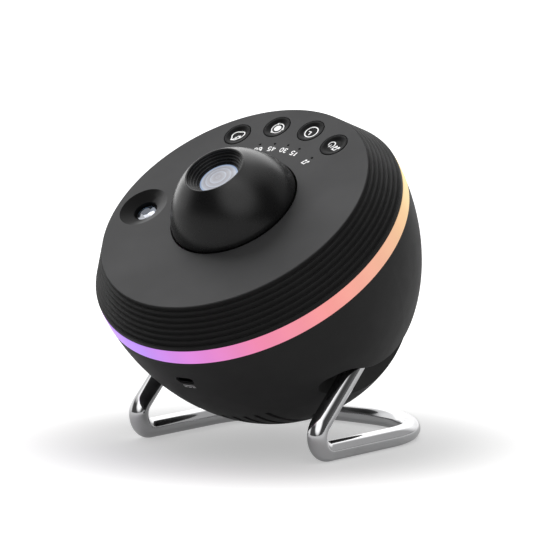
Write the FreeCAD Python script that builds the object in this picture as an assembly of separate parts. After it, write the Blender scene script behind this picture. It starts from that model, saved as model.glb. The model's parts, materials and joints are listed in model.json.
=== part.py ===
import FreeCAD, Part
import math
import os
from FreeCAD import Vector

# Planetarium projector: a round tilting head on a bent rod stand.
#
# All lengths are in millimetres and all angles in degrees.
#
# The head is modelled upright in its own frame: Z is the projection axis, with
# Z = 0 on the seam between the top cover and the light ring, X runs along the
# tilt pivot, and -Y is the side that leans to the front. place_head() tilts
# each head piece forward about X and lifts it onto the stand. The finished part
# stands on Z = 0, centred on the origin in X and Y, with its front at -Y.

# ---------------------------------------------------------------- driving sizes
# head posture
head_tilt = 38.14            # forward lean of the projection axis at rest
seam_height = 97.3           # height of the head's seam centre above the table

# top cover
plate_radius = 65.22         # flat control plate
plate_height = 17.72         # top of the plate above the seam
step_count = 8               # risers of the stepped skirt
skirt_radius = 75.0          # skirt at the seam
cover_wall = 2.4
skirt_wall = 2.0

# light ring and lower housing
ring_overhang = 0.2          # ring past the skirt's foot
ring_height = 7.5
ring_wall = 3.5
housing_overhang = 0.02      # widest part of the lower shell past the ring
housing_depth = 92.9         # half height of the shell's ellipsoid
housing_centre = -2.13       # height of the ellipsoid's centre
housing_wall = 2.4
lip_gap = 3.7                # from the ring to the lip that carries its light strip
lip_wall = 2.0
lip_top = -0.6
lip_depth = 6.0              # lip below the light ring
lip_web = 2.5                # web between the lip and the shell
strip_thick = 0.5
strip_rise = 0.4             # strip's lower edge above the ring's lower edge
ring_lamp_count = 30
ring_lamp_side = 3.5
ring_lamp_thick = 1.6

# dome, baffle and lenses
dome_base_radius = 30.5
dome_gap = 0.4               # visible gap between dome and plate
dome_waist_radius = 26.5
dome_waist_height = 9.8      # above the plate
dome_lip_radius = 14.6
dome_lip_height = 22.2       # above the plate
dome_lip_rise = 0.12         # rounding of the lip's top
dome_lip_thick = 2.7
dome_wall = 2.0
dome_waist_lean = 28.5       # slope of the wall's normal at the waist
dome_flange_reach = 5.5      # flange past the dome's foot
dome_flange = 1.6
dome_screw_angles = (30.0, 150.0, 270.0)
dome_screw_skin = 0.5        # left of the plate above each screw
aperture_radius = 13.5
aperture_drop = 0.8          # from the lip down to the first baffle edge
baffle_steps = 4
baffle_rim = 0.45            # land between the baffle's edge and the lip
lens_opening_radius = 9.24
lens_opening_height = 17.2   # above the plate
lens_radius = 9.6
lens_edge = 1.8
lens_bulge = 1.0
lens_land = 0.5              # flat rim round a lens's bulge
lens_lip = 0.2               # baffle's lip over the front lens
lens_ledge = 1.2
collar_wall = 2.0
collar_ledge = 1.2
baffle_bottom = 14.2         # above the plate
lens_tube_bottom = 3.0       # above the plate
lens_tube_wall = 1.4
rear_lens_thick = 3.0

# buttons
button_inset = 11.92         # from the plate's rim to the buttons' centres
button_angles = (120.1, 98.3, 76.5, 55.2)
button_names = ("nebula", "brightness", "timer", "power")
button_well_radius = 6.8
button_radius = 6.5
button_thick = 2.8
button_dish_radius = 5.9
button_dish_depth = 0.9
button_travel = 0.8
stem_radius = 2.0
plunger_radius = 1.6
plunger_reach = 0.8          # depth of the plunger inside its switch
stem_reach = 0.2             # stem below the well's floor
well_wall = 1.5
well_depth = 4.32            # from the plate's face
well_floor = 1.0

# indicators
indicator_inset = 11.5       # inside the buttons' centres
indicator_angles = (103.8, 92.8, 82.0, 71.3, 55.4)
indicator_radius = 0.6
indicator_lamp_length = 1.6
indicator_lamp_width = 1.0
indicator_lamp_thick = 0.9
guide_drop = 0.1             # guide's end below the plate's face
guide_collar_radius = 1.2
guide_collar = 1.0

# control board under the plate
control_board_drop = 10.02   # from the plate's face to the board's face
board_thick = 1.6
control_board_rim = 7.7      # of the board outside the buttons' centres
control_board_inset = 15.3   # of the board inside the buttons' centres
control_board_start = 43.0
control_board_end = 131.0
switch_side = 6.0
switch_height = 3.5
switch_spare = 0.2           # depth of the switch's mouth past the pressed plunger
control_boss_inset = 9.3     # inside the buttons' centres
control_boss_angles = (109.2, 87.3, 65.7)
control_boss_radius = 2.6

# star laser
laser_direction = -174.015   # of the laser's axis from the projection axis
laser_cone_radius = 11.85
laser_cone_depth = 2.5
laser_hole_radius = 5.75
laser_seat_radius = 4.6
laser_seat_drop = 4.52       # from the plate's face to the window's seat
laser_seat_thick = 1.0
laser_boss_radius = 9.5
laser_window_thick = 1.5
laser_window_bevel = 0.6
laser_window_facet = 2.2
laser_exit_radius = 1.6
laser_exit_depth = 4.0
laser_module_radius = 6.0
laser_module_bottom = -24.0
laser_module_top = 3.5
laser_holder_flange_radius = 12.6
laser_screw_offset = 10.6
laser_journal_radius = 7.5
laser_shoulder_radius = 8.4

# chassis
chassis_gap = 2.0            # from the lip to the chassis's rim
chassis_top = -12.0
chassis_thick = 2.0
chassis_clearance = 1.0      # round the pieces that reach through the chassis
chassis_skin = 0.8           # left above the housing screws
wire_hole_radius = 5.0
wire_hole_x = 34.0
cover_post_radius = 4.2
cover_post_inset = 7.0       # from the chassis's rim to the posts' centres
cover_post_angles = (20.0, 160.0, 222.0, 318.0)
well_post_x = 30.0
well_post_y = 40.0
chassis_boss_radius = 4.0
chassis_boss_drop = 8.0
screw_well_radius = 3.2
screw_well_wall = 1.8
screw_well_floor = 3.0

# nebula optics on the projection axis
barrel_bore = 15.5
barrel_journal_radius = 18.0
barrel_shoulder_radius = 20.0
barrel_flange_radius = 24.6
barrel_screw_inset = 2.3     # from the flange's rim to the screws' centres
barrel_screw_angles = (60.0, 180.0, 300.0)
barrel_ledge = 1.5
barrel_ledge_thick = 1.2
flange_thick = 2.5
gear_seat = 1.0              # height of the shoulder that the gears turn on
gear_thick = 5.0
disc_thick = 1.1
disc_clearance = 0.2         # under the turning discs
condenser_thick = 6.0
condenser_bottom = -6.0
lamp_board_radius = 14.0
lamp_chip_side = 5.0
lamp_chip_gap = 1.0
lamp_chip_thick = 1.2
heatsink_plate = 3.0
heatsink_bottom = -34.0
fin_thick = 1.6
fin_pitch = 4.2
fin_count = 11
fin_inset = 1.0

# gear train
gear_module = 0.8
pressure_angle = 20.0
nebula_teeth = 68
pinion_teeth = 18
grating_teeth = 24
train_bend = 152.11          # at the pinion, between the other two gears' centres
backlash = 0.16
tooth_addendum = 0.95        # in modules
tooth_dedendum = 1.25        # in modules
flank_steps = 5
nebula_disc_radius = 21.0
grating_disc_radius = 8.2
motor_radius = 9.0
motor_length = 20.0
motor_floor = 3.0            # below the shaft's foot
motor_shaft_radius = 1.5
motor_screw_offset = 6.2
shaft_spare = 0.5            # shaft above the pinion

# main board and speaker
main_board_width = 60.0
main_board_front = -20.0
main_board_rear = 33.0
main_board_top = -58.4
standoff_radius = 3.0
standoff_x = 26.0
standoff_inset = 4.0         # from the board's front and rear edges
board_chips = ((14.0, 1.6, 0.0, 0.0), (8.0, 1.4, 15.0, -5.0), (8.0, 1.4, -16.0, 6.0))
board_plug_depth = 5.0
board_plug_tall = 6.0
board_plug_inset = 1.0
rear_plug_width = 18.0
front_plug_width = 12.0
capacitor_radius = 3.2
capacitor_tall = 7.5
capacitor_places = ((-16.0, -12.0), (-8.5, -12.0), (8.5, -12.0))
speaker_angle = 40.0         # lean of the speaker's axis, down and to the front
speaker_radius = 21.5
speaker_ring_wall = 3.0
speaker_ring_height = 4.0
speaker_flange = 1.5
basket_depth = 8.0
basket_wall = 1.2
voice_gap = 4.0              # between the magnet's rim and the basket's throat
magnet_radius = 12.0
magnet_depth = 8.0
cone_lift = 0.1
cone_depth = 4.1
cone_thick = 0.9
cone_edge = 2.4
dust_cap_radius = 4.0
dust_cap_rise = 0.4
vent_pitch = 6.3
vent_count = 8
vent_width = 2.2
vent_start = 21.0            # angles from straight down, towards the front
vent_end = 49.0

# power inlet
inlet_height = -20.0
inlet_width = 9.8
inlet_tall = 4.2
socket_width = 8.94
socket_tall = 3.26
socket_depth = 7.3
socket_setback = 0.8         # from the shell's face to the socket's mouth
socket_wall = 0.3
socket_back = 0.8
tongue_width = 6.6
tongue_thick = 0.7
tongue_setback = 1.0
inlet_board_thick = 1.2
inlet_board_width = 16.0
inlet_board_length = 14.0
inlet_board_gap = 1.0        # behind the shell's inner face
inlet_screw_x = 5.4
inlet_screw_inset = 2.6
bracket_inner = 3.2
bracket_spare = 1.0          # bracket past the board's side
bracket_tall = 4.0

# stand
rod_radius = 4.55
rail_x = 51.8
rail_end_y = 39.3            # from the seam centre
rear_bar_y = 84.7
rear_bend_radius = 45.4
front_bend_radius = 7.5
upright_angle = 42.9

# pivot
pivot_drop = 49.2            # below the seam, on the projection axis
hub_radius = 9.0
hub_thick = 10.6
axle_radius = 4.0
bush_radius = 5.6
bush_flange_radius = 8.0
bush_flange = 0.4
pivot_boss_radius = 9.0
pivot_boss_depth = 8.0
washer_radius = 7.5
washer_thick = 1.2
nut_flats = 13.0
nut_thick = 4.0
rod_end_gap = 5.2            # from the pivot axis to the rod's end in the hub
axle_spare = 1.0             # axle past its nut
hub_skin = 1.0               # hub's face over the axle

# pocket of the lower housing that the stand's hub and upright lie in
pocket_inner_gap = 0.1       # from the hub to the bush's flange on the inner wall
pocket_outer_gap = 0.9       # from the hub to the outer wall
pocket_headroom = 3.2        # over the hub
pocket_front_y = -10.4       # upright front wall at rest, from the seam centre
pocket_brow_gap = 0.7        # under the brow, with the rod level below it
pocket_brow_rise = 2.4       # from the brow up to the front wall's top
pocket_brow_y = 31.46        # in front of the pivot
pocket_slope_y = 13.78       # in front of the pivot, where the brow meets the ceiling
pocket_wall = 2.0
pocket_corner = 3.0
pocket_bends = (4.0, 6.0, 6.0)   # radii at the front wall's top, brow and ceiling

# fits
running_gap = 0.05           # radial, between turning pieces
slip_gap = 0.02              # radial, between pieces that stay together
seat_gap = 0.3               # between loose neighbours
past = 10.0                  # how far a cutter runs past what it cuts

# fasteners
screw_radius = 1.5
screw_head_radius = 2.8
screw_head = 2.2
small_screw_radius = 1.0
small_head_radius = 1.9
small_head = 1.4
cover_screw_bite = 9.8
control_screw_bite = 4.8
main_screw_bite = 7.8
inlet_screw_bite = 3.3
heatsink_screw_bite = 2.3
motor_screw_bite = 2.8
pilot_spare = 0.2            # depth of a pilot hole past its screw

# ------------------------------------------------------------- derived values
TILT = math.radians(head_tilt)
X_AXIS = Vector(1, 0, 0)
Z_AXIS = Vector(0, 0, 1)
ORIGIN = Vector(0, 0, 0)

ring_radius = skirt_radius + ring_overhang
housing_radius = ring_radius + housing_overhang
lip_outer_radius = ring_radius - ring_wall - lip_gap
chassis_radius = lip_outer_radius - lip_wall - chassis_gap
cover_post_circle = chassis_radius - cover_post_inset
dome_flange_radius = dome_base_radius + dome_flange_reach
barrel_screw_circle = barrel_flange_radius - barrel_screw_inset
button_circle = plate_radius - button_inset
indicator_circle = button_circle - indicator_inset
control_board_outer = button_circle + control_board_rim
control_board_inner = button_circle - control_board_inset
control_boss_circle = button_circle - control_boss_inset
well_floor_top = plate_height - well_depth
control_board_top = plate_height - control_board_drop
laser_seat_height = plate_height - laser_seat_drop
laser_boss_bottom = laser_seat_height - laser_seat_thick
plate_under = plate_height - cover_wall
riser = plate_height / step_count
tread = (skirt_radius - plate_radius) / (step_count - 1)
front_reach = plate_height * math.sin(TILT) + plate_radius * math.cos(TILT)
rear_reach = rear_bar_y + rod_radius
head_y = (front_reach - rear_reach) / 2
pivot_y = head_y + pivot_drop * math.sin(TILT)
pivot_z = seam_height - pivot_drop * math.cos(TILT)
hub_inner = rail_x - hub_thick / 2
pocket_inner = hub_inner - pocket_inner_gap - bush_flange
pocket_outer = hub_inner + hub_thick + pocket_outer_gap
pocket_ceiling = hub_radius + pocket_headroom - pivot_drop
chassis_under = chassis_top - chassis_thick
boss_under = chassis_under - chassis_boss_drop
gear_bottom = gear_seat + running_gap
gear_top = gear_bottom + gear_thick
disc_bottom = gear_top - disc_thick
journal_top = disc_bottom - disc_clearance

pinion_arm = gear_module * (nebula_teeth + pinion_teeth) / 2
grating_arm = gear_module * (grating_teeth + pinion_teeth) / 2
laser_arm = math.sqrt(pinion_arm**2 + grating_arm**2
                      - 2 * pinion_arm * grating_arm * math.cos(math.radians(train_bend)))
laser_angle = math.radians(laser_direction)
laser_x = laser_arm * math.cos(laser_angle)
laser_y = laser_arm * math.sin(laser_angle)
pinion_cos = (pinion_arm**2 + laser_arm**2 - grating_arm**2) / (2 * pinion_arm * laser_arm)
pinion_angle = laser_angle + math.acos(pinion_cos)
pinion_x = pinion_arm * math.cos(pinion_angle)
pinion_y = pinion_arm * math.sin(pinion_angle)


# ------------------------------------------------------------------- helpers
def cylinder(radius, bottom, top, x=0.0, y=0.0):
    """Upright cylinder between two heights."""
    return Part.makeCylinder(radius, top - bottom, Vector(x, y, bottom), Z_AXIS)


def tube(outer, inner, bottom, top, x=0.0, y=0.0):
    """Upright tube between two heights."""
    return cylinder(outer, bottom, top, x, y).cut(cylinder(inner, bottom, top, x, y))


def cross_cylinder(radius, x_low, x_high, y, z):
    """Cylinder along X between two places."""
    return Part.makeCylinder(radius, x_high - x_low, Vector(x_low, y, z), X_AXIS)


def block(x_low, x_high, y_low, y_high, z_low, z_high):
    """Box between two corners."""
    size = (x_high - x_low, y_high - y_low, z_high - z_low)
    return Part.makeBox(*size, Vector(x_low, y_low, z_low))


def turned(points):
    """Solid turned about Z from a closed outline of (radius, height) points."""
    corners = [Vector(radius, 0, height) for radius, height in points]
    outline = Part.makePolygon(corners + corners[:1])
    return Part.Face(outline).revolve(ORIGIN, Z_AXIS, 360)


def fused(shapes):
    """All shapes joined into one."""
    first, *rest = shapes
    return first.multiFuse(rest).removeSplitter() if rest else first


def without(shape, tools):
    """The shape with every tool cut away."""
    for tool in tools:
        shape = shape.cut(tool)
    return shape


def around(circle, angles):
    """Places on a circle about the projection axis."""
    turns = [math.radians(angle) for angle in angles]
    return [(circle * math.cos(turn), circle * math.sin(turn)) for turn in turns]


def mirrored(shape):
    """The shape's mirror image across the middle of the part."""
    return shape.mirror(ORIGIN, X_AXIS)


def both_sides(shape):
    """The shape and its mirror image, as separate solids."""
    return Part.makeCompound([shape, mirrored(shape)])


def place_head(shape):
    """Tilt a head piece forward and lift it to its place on the stand."""
    placed = shape.copy()
    placed.rotate(ORIGIN, X_AXIS, head_tilt)
    placed.translate(Vector(0, head_y, seam_height))
    return placed


def export(name, shape):
    """Write one node's STEP file."""
    shape.exportStep(f"parts/{name}.step")


def export_head(name, shape):
    """Write the STEP file of a piece that rides in the head."""
    export(name, place_head(shape))


def screw(shank, head, head_radius, length, x, y, seat, points_up=True):
    """Cap screw whose head sits against the height `seat`."""
    way = 1 if points_up else -1
    spans = [(head_radius, seat - way * head, seat), (shank, seat, seat + way * length)]
    return fused([cylinder(r, min(a, b), max(a, b), x, y) for r, a, b in spans])


# ----------------------------------------------------------------- top cover
cover_posts = around(cover_post_circle, cover_post_angles)
control_bosses = around(control_boss_circle, control_boss_angles)
button_places = around(button_circle, button_angles)
indicator_places = around(indicator_circle, indicator_angles)
dome_screw_circle = (dome_base_radius + dome_gap + dome_flange_radius) / 2 + slip_gap
dome_screws = around(dome_screw_circle, dome_screw_angles)
dome_screw_bite = cover_wall - dome_screw_skin - pilot_spare


def stepped_skirt():
    """Corners of the skirt's outside, from the seam up to the plate's edge."""
    corners = []
    for step in range(step_count):
        radius = skirt_radius - step * tread
        corners += [(radius, step * riser), (radius, (step + 1) * riser)]
    return corners


def top_cover():
    """Control plate and stepped skirt in one moulding, with its wells and posts."""
    slope = math.atan2(plate_height - riser, skirt_radius - plate_radius)
    inset = skirt_wall / math.sin(slope)
    inner_seam = skirt_radius - inset
    inner_top = inner_seam - plate_under / math.tan(slope)
    hole = dome_base_radius + dome_gap
    outline = [(hole, plate_under), (inner_top, plate_under), (inner_seam, 0.0)]
    outline += stepped_skirt() + [(hole, plate_height)]
    adds = [turned(outline)]
    adds += [cylinder(cover_post_radius, chassis_top, plate_under, x, y) for x, y in cover_posts]
    adds += [cylinder(control_boss_radius, control_board_top, plate_under, x, y)
             for x, y in control_bosses]
    well_outer = button_well_radius + well_wall
    well_bottom = well_floor_top - well_floor
    adds += [cylinder(well_outer, well_bottom, plate_under, x, y) for x, y in button_places]
    adds.append(cylinder(laser_boss_radius, laser_boss_bottom, plate_under, laser_x, laser_y))
    cover = fused(adds)

    cuts = []
    for x, y in button_places:
        cuts.append(cylinder(button_well_radius, well_floor_top, plate_height, x, y))
        cuts.append(cylinder(stem_radius + running_gap, well_bottom, well_floor_top, x, y))
    for x, y in indicator_places:
        cuts.append(cylinder(indicator_radius + running_gap, plate_under, plate_height, x, y))
    cone_bottom = plate_height - laser_cone_depth
    cone = Part.makeCone(laser_hole_radius, laser_cone_radius, laser_cone_depth,
                         Vector(laser_x, laser_y, cone_bottom), Z_AXIS)
    cuts.append(cone)
    cuts.append(cylinder(laser_hole_radius, laser_seat_height, cone_bottom, laser_x, laser_y))
    cuts.append(cylinder(laser_seat_radius, laser_boss_bottom, laser_seat_height,
                         laser_x, laser_y))
    pilot = screw_radius + slip_gap
    pilot_top = chassis_top + cover_screw_bite + pilot_spare
    cuts += [cylinder(pilot, chassis_top, pilot_top, x, y) for x, y in cover_posts]
    small_pilot = small_screw_radius + slip_gap
    pilot_top = control_board_top + control_screw_bite + pilot_spare
    cuts += [cylinder(small_pilot, control_board_top, pilot_top, x, y)
             for x, y in control_bosses]
    pilot_top = plate_under + dome_screw_bite + pilot_spare
    cuts += [cylinder(small_pilot, plate_under, pilot_top, x, y) for x, y in dome_screws]
    return without(cover, cuts)


# ---------------------------------------------------------- dome and its optics
dome_lip = plate_height + dome_lip_height
baffle_top = dome_lip - aperture_drop
baffle_floor = plate_height + baffle_bottom
lens_opening = plate_height + lens_opening_height
lens_seat = lens_opening - lens_lip
tube_top = lens_seat - lens_edge


def arc_through(start, middle, end):
    """Arc edge through three (radius, height) points."""
    points = [Vector(radius, 0, height) for radius, height in (start, middle, end)]
    return Part.Arc(*points).toShape()


def line_through(points):
    """Straight edges through (radius, height) points."""
    corners = [Vector(radius, 0, height) for radius, height in points]
    return [Part.makeLine(a, b) for a, b in zip(corners, corners[1:])]


def projector_dome():
    """Domed cap with a rolled lip at its aperture and a flange under the plate."""
    waist = plate_height + dome_waist_height
    flange_bottom = plate_under - dome_flange
    lip_inner = (aperture_radius, baffle_top)
    lip_crown = ((dome_lip_radius + aperture_radius) / 2, dome_lip + dome_lip_rise)
    outer = arc_through((dome_base_radius, plate_height), (dome_waist_radius, waist),
                        (dome_lip_radius, dome_lip))
    crown = arc_through((dome_lip_radius, dome_lip), lip_crown, lip_inner)
    inner_base = dome_base_radius - dome_wall
    collar = aperture_radius + collar_wall
    under_lip = dome_lip - dome_lip_thick
    lean = math.radians(dome_waist_lean)
    inner_waist = (dome_waist_radius - dome_wall * math.cos(lean),
                   waist - dome_wall * math.sin(lean))
    inner = arc_through((collar, under_lip), inner_waist, (inner_base, plate_height))
    collar_bottom = baffle_floor - collar_ledge
    aperture = line_through([lip_inner, (aperture_radius, baffle_floor),
                             (aperture_radius - collar_ledge, baffle_floor),
                             (aperture_radius - collar_ledge, collar_bottom),
                             (collar, collar_bottom), (collar, under_lip)])
    skirt = line_through([(inner_base, plate_height), (inner_base, flange_bottom),
                          (dome_flange_radius, flange_bottom),
                          (dome_flange_radius, plate_under),
                          (dome_base_radius, plate_under),
                          (dome_base_radius, plate_height)])
    wire = Part.Wire(Part.__sortEdges__([outer, crown, inner] + aperture + skirt))
    dome = Part.Face(wire).revolve(ORIGIN, Z_AXIS, 360)
    holes = [cylinder(small_screw_radius + seat_gap, flange_bottom, plate_under, x, y)
             for x, y in dome_screws]
    return without(dome, holes)


def lens_baffle():
    """Stepped ring that narrows the aperture down to the lens."""
    outer = aperture_radius - slip_gap
    drop = (baffle_top - lens_opening) / baffle_steps
    radius = aperture_radius - baffle_rim
    width = (radius - lens_opening_radius) / baffle_steps
    corners = [(outer, baffle_floor), (outer, baffle_top)]
    height = baffle_top
    corners.append((radius, height))
    for step in range(baffle_steps):
        height -= drop
        corners.append((radius, height))
        radius -= width
        corners.append((radius, height))
    seat_radius = lens_radius + slip_gap
    corners += [(lens_opening_radius, lens_seat), (seat_radius, lens_seat),
                (seat_radius, baffle_floor)]
    return turned(corners)


def bulging_lens(radius, edge_bottom, edge_top, bulge):
    """Round lens with a cylindrical edge and one bulging face on top."""
    crown = radius - lens_land
    sphere_radius = (crown**2 + bulge**2) / (2 * bulge)
    half_turn = math.asin(crown / sphere_radius) / 2
    centre_height = edge_top + bulge - sphere_radius
    middle = (sphere_radius * math.sin(half_turn),
              centre_height + sphere_radius * math.cos(half_turn))
    edges = line_through([(0.0, edge_bottom), (radius, edge_bottom), (radius, edge_top),
                          (crown, edge_top)])
    edges.append(arc_through((crown, edge_top), middle, (0.0, edge_top + bulge)))
    edges += line_through([(0.0, edge_top + bulge), (0.0, edge_bottom)])
    return Part.Face(Part.Wire(edges)).revolve(ORIGIN, Z_AXIS, 360)


def lens_tube():
    """Tube under the baffle that clamps the front lens and holds the rear one."""
    bottom = plate_height + lens_tube_bottom
    bore = lens_radius - lens_tube_wall
    ledge = bore - lens_ledge
    flange_outer = aperture_radius - collar_ledge - running_gap
    flange_bottom = baffle_floor - collar_ledge
    seat = bottom + lens_ledge
    return turned([(ledge, bottom), (lens_radius, bottom), (lens_radius, flange_bottom),
                   (flange_outer, flange_bottom), (flange_outer, baffle_floor),
                   (lens_radius, baffle_floor), (lens_radius, tube_top), (bore, tube_top),
                   (bore, seat), (ledge, seat)])


def rear_lens():
    """Second lens, seated on the ledge at the foot of the lens tube."""
    seat = plate_height + lens_tube_bottom + lens_ledge
    radius = lens_radius - lens_tube_wall - slip_gap
    return bulging_lens(radius, seat, seat + rear_lens_thick / 2, rear_lens_thick / 2)


# ------------------------------------------------------------------- buttons
switch_top = control_board_top + switch_height


def button(x, y):
    """Dished cap with its guide stem and the plunger that presses the switch."""
    bottom = plate_height - button_thick
    cap = cylinder(button_radius, bottom, plate_height, x, y)
    sphere_radius = (button_dish_radius**2 + button_dish_depth**2) / (2 * button_dish_depth)
    centre = Vector(x, y, plate_height - button_dish_depth + sphere_radius)
    dish = Part.makeSphere(sphere_radius, centre)
    stem_bottom = well_floor_top - well_floor - stem_reach
    stem = cylinder(stem_radius, stem_bottom, bottom, x, y)
    plunger = cylinder(plunger_radius, switch_top - plunger_reach, stem_bottom, x, y)
    return fused([cap.cut(dish), stem, plunger])


def button_switches():
    """Push switches under the buttons, each open on top for its plunger."""
    half = switch_side / 2
    depth = plunger_reach + button_travel + switch_spare
    bodies = []
    for x, y in button_places:
        body = block(x - half, x + half, y - half, y + half, control_board_top, switch_top)
        mouth = cylinder(plunger_radius + running_gap, switch_top - depth, switch_top, x, y)
        bodies.append(body.cut(mouth))
    return Part.makeCompound(bodies)


def control_board():
    """Curved board that carries the switches and the indicator lamps."""
    bottom = control_board_top - board_thick
    start = math.radians(control_board_start)
    end = math.radians(control_board_end)
    middle = (start + end) / 2

    def rim(radius, turn):
        return Vector(radius * math.cos(turn), radius * math.sin(turn), bottom)

    outer = Part.Arc(*[rim(control_board_outer, turn) for turn in (start, middle, end)])
    inner = Part.Arc(*[rim(control_board_inner, turn) for turn in (end, middle, start)])
    sides = [Part.makeLine(rim(control_board_outer, end), rim(control_board_inner, end)),
             Part.makeLine(rim(control_board_inner, start), rim(control_board_outer, start))]
    wire = Part.Wire([outer.toShape(), sides[0], inner.toShape(), sides[1]])
    board = Part.Face(wire).extrude(Vector(0, 0, board_thick))
    holes = [cylinder(small_screw_radius + seat_gap, bottom, control_board_top, x, y)
             for x, y in control_bosses]
    return without(board, holes)


indicator_lamp_top = control_board_top + indicator_lamp_thick


def indicator_lamps():
    """Small lamps on the control board, one under each light guide."""
    long = indicator_lamp_length / 2
    wide = indicator_lamp_width / 2
    return Part.makeCompound([
        block(x - long, x + long, y - wide, y + wide, control_board_top, indicator_lamp_top)
        for x, y in indicator_places])


def indicator_guides():
    """Clear pins that bring the lamps' light up to the plate."""
    pins = []
    for x, y in indicator_places:
        pin = cylinder(indicator_radius, indicator_lamp_top, plate_height - guide_drop, x, y)
        collar = cylinder(guide_collar_radius, plate_under - guide_collar, plate_under, x, y)
        pins.append(fused([pin, collar]))
    return Part.makeCompound(pins)


# ------------------------------------------------------------------ light ring
def light_ring():
    """Milky band round the head, between the cover and the lower housing."""
    return tube(ring_radius, ring_radius - ring_wall, -ring_height, 0.0)


def ring_strip():
    """Flexible light strip wound round the housing's lip."""
    inner = lip_outer_radius + slip_gap
    return tube(inner + strip_thick, inner, strip_rise - ring_height, lip_top)


def ring_lamps():
    """Square lamps on the strip, facing outwards to the light ring."""
    face = lip_outer_radius + slip_gap + strip_thick
    middle = (lip_top - ring_height) / 2
    half = ring_lamp_side / 2
    core = cylinder(face, -ring_height, 0.0)
    lamp = block(face - half, face + ring_lamp_thick, -half, half, middle - half, middle + half)
    lamp = lamp.cut(core)
    lamps = []
    for index in range(ring_lamp_count):
        turned_lamp = lamp.copy()
        turned_lamp.rotate(ORIGIN, Z_AXIS, 360.0 * index / ring_lamp_count)
        lamps.append(turned_lamp)
    return Part.makeCompound(lamps)


# -------------------------------------------------------------- lower housing
def shell_body(inset, top):
    """Lower half of the head's ellipsoid, moved in by `inset` and cut off at `top`."""
    radius = housing_radius - inset
    depth = housing_depth - inset
    centre = Vector(0, 0, housing_centre)
    pole = centre - Vector(0, 0, depth)
    ellipse = Part.Ellipse(pole, centre + Vector(radius, 0, 0), centre)
    rim = Vector(radius * math.sqrt(1 - ((top - housing_centre) / depth)**2), 0, top)
    start, end = sorted((ellipse.parameter(pole), ellipse.parameter(rim)))
    axis_end = Vector(0, 0, top)
    edges = [Part.ArcOfEllipse(ellipse, start, end).toShape(), Part.makeLine(rim, axis_end),
             Part.makeLine(axis_end, pole)]
    return Part.Face(Part.Wire(edges)).revolve(ORIGIN, Z_AXIS, 360)


def pocket_front(height):
    """Y of the pocket's front wall, which stands upright while the head is at rest."""
    return (pocket_front_y + height * math.sin(TILT)) / math.cos(TILT)


def widened(outline, grow):
    """Closed clockwise outline of (y, z) points, with every side moved out by `grow`."""
    sides = []
    for (y, z), (next_y, next_z) in zip(outline, outline[1:] + outline[:1]):
        length = math.hypot(next_y - y, next_z - z)
        along_y, along_z = (next_y - y) / length, (next_z - z) / length
        sides.append((y - along_z * grow, z + along_y * grow, along_y, along_z))
    corners = []
    for (y, z, dy, dz), (next_y, next_z, next_dy, next_dz) in zip(sides[-1:] + sides, sides):
        reach = ((next_y - y) * next_dz - (next_z - z) * next_dy) / (dy * next_dz - dz * next_dy)
        corners.append((y + reach * dy, z + reach * dz))
    return corners


def rounded_outline(corners, bends):
    """Closed wire through the corners, with an arc of the given radius at each, or none."""
    edges = []
    starts, ends = [], []
    for index, (corner, bend) in enumerate(zip(corners, bends)):
        back = (corners[index - 1] - corner).normalize()
        ahead = (corners[(index + 1) % len(corners)] - corner).normalize()
        half = back.getAngle(ahead) / 2
        cut = bend / math.tan(half)
        starts.append(corner + back * cut)
        ends.append(corner + ahead * cut)
        if bend:
            middle = corner + (back + ahead).normalize() * (bend / math.sin(half) - bend)
            edges.append(Part.Arc(starts[-1], middle, ends[-1]).toShape())
    edges += [Part.makeLine(ends[index - 1], starts[index]) for index in range(len(corners))]
    return Part.Wire(Part.__sortEdges__(edges))


def pocket_prism(grow):
    """The right-hand pocket's space, widened on every wall by `grow`."""
    brow = rod_radius + pocket_brow_gap - pivot_drop
    wall_top = brow + pocket_brow_rise
    floor = -housing_depth - past
    front = [(pocket_front(floor), floor), (pocket_front(wall_top), wall_top),
             (-pocket_brow_y, brow), (-pocket_slope_y, pocket_ceiling)]
    outline = widened(front + [(-y, z) for y, z in reversed(front)], grow)
    bends = (0.0,) + tuple(bend + grow * side for bend, side in zip(pocket_bends, (1, -1, 1)))
    plane_x = pocket_inner - grow
    corners = [Vector(plane_x, y, z) for y, z in outline]
    face = Part.Face(rounded_outline(corners, bends + tuple(reversed(bends))))
    prism = face.extrude(Vector(pocket_outer - pocket_inner + 2 * grow, 0, 0))
    low = floor + past / 2
    width = pocket_outer - pocket_inner
    edges = [edge for edge in prism.Edges
             if edge.BoundBox.ZMax > low and edge.BoundBox.XLength < width / 2]
    return prism.makeFillet(pocket_corner + grow, edges)


def speaker_frame_point():
    """Where the speaker's axis meets the inside of the shell, as (y, z)."""
    lean = math.radians(speaker_angle)
    radius = housing_radius - housing_wall
    depth = housing_depth - housing_wall
    reach = math.hypot(radius * math.sin(lean), depth * math.cos(lean))
    return (-radius**2 * math.sin(lean) / reach,
            housing_centre - depth**2 * math.cos(lean) / reach)


def on_speaker_axis(shape):
    """Place a piece drawn along +Z from the shell's inside onto the speaker's axis."""
    y, z = speaker_frame_point()
    placed = shape.copy()
    placed.rotate(ORIGIN, X_AXIS, -speaker_angle)
    placed.translate(Vector(0, y, z))
    return placed


def vent_cutters():
    """Slots through the shell in front of the speaker, running front to rear."""
    cutters = []
    far = housing_depth + past
    for index in range(vent_count):
        x = (index - (vent_count - 1) / 2) * vent_pitch - vent_width / 2
        corners = [Vector(x, 0, 0)]
        for angle in (vent_start, vent_end):
            turn = math.radians(angle)
            corners.append(Vector(x, -far * math.sin(turn), -far * math.cos(turn)))
        face = Part.Face(Part.makePolygon(corners + corners[:1]))
        cutters.append(face.extrude(Vector(vent_width, 0, 0)))
    return cutters


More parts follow.
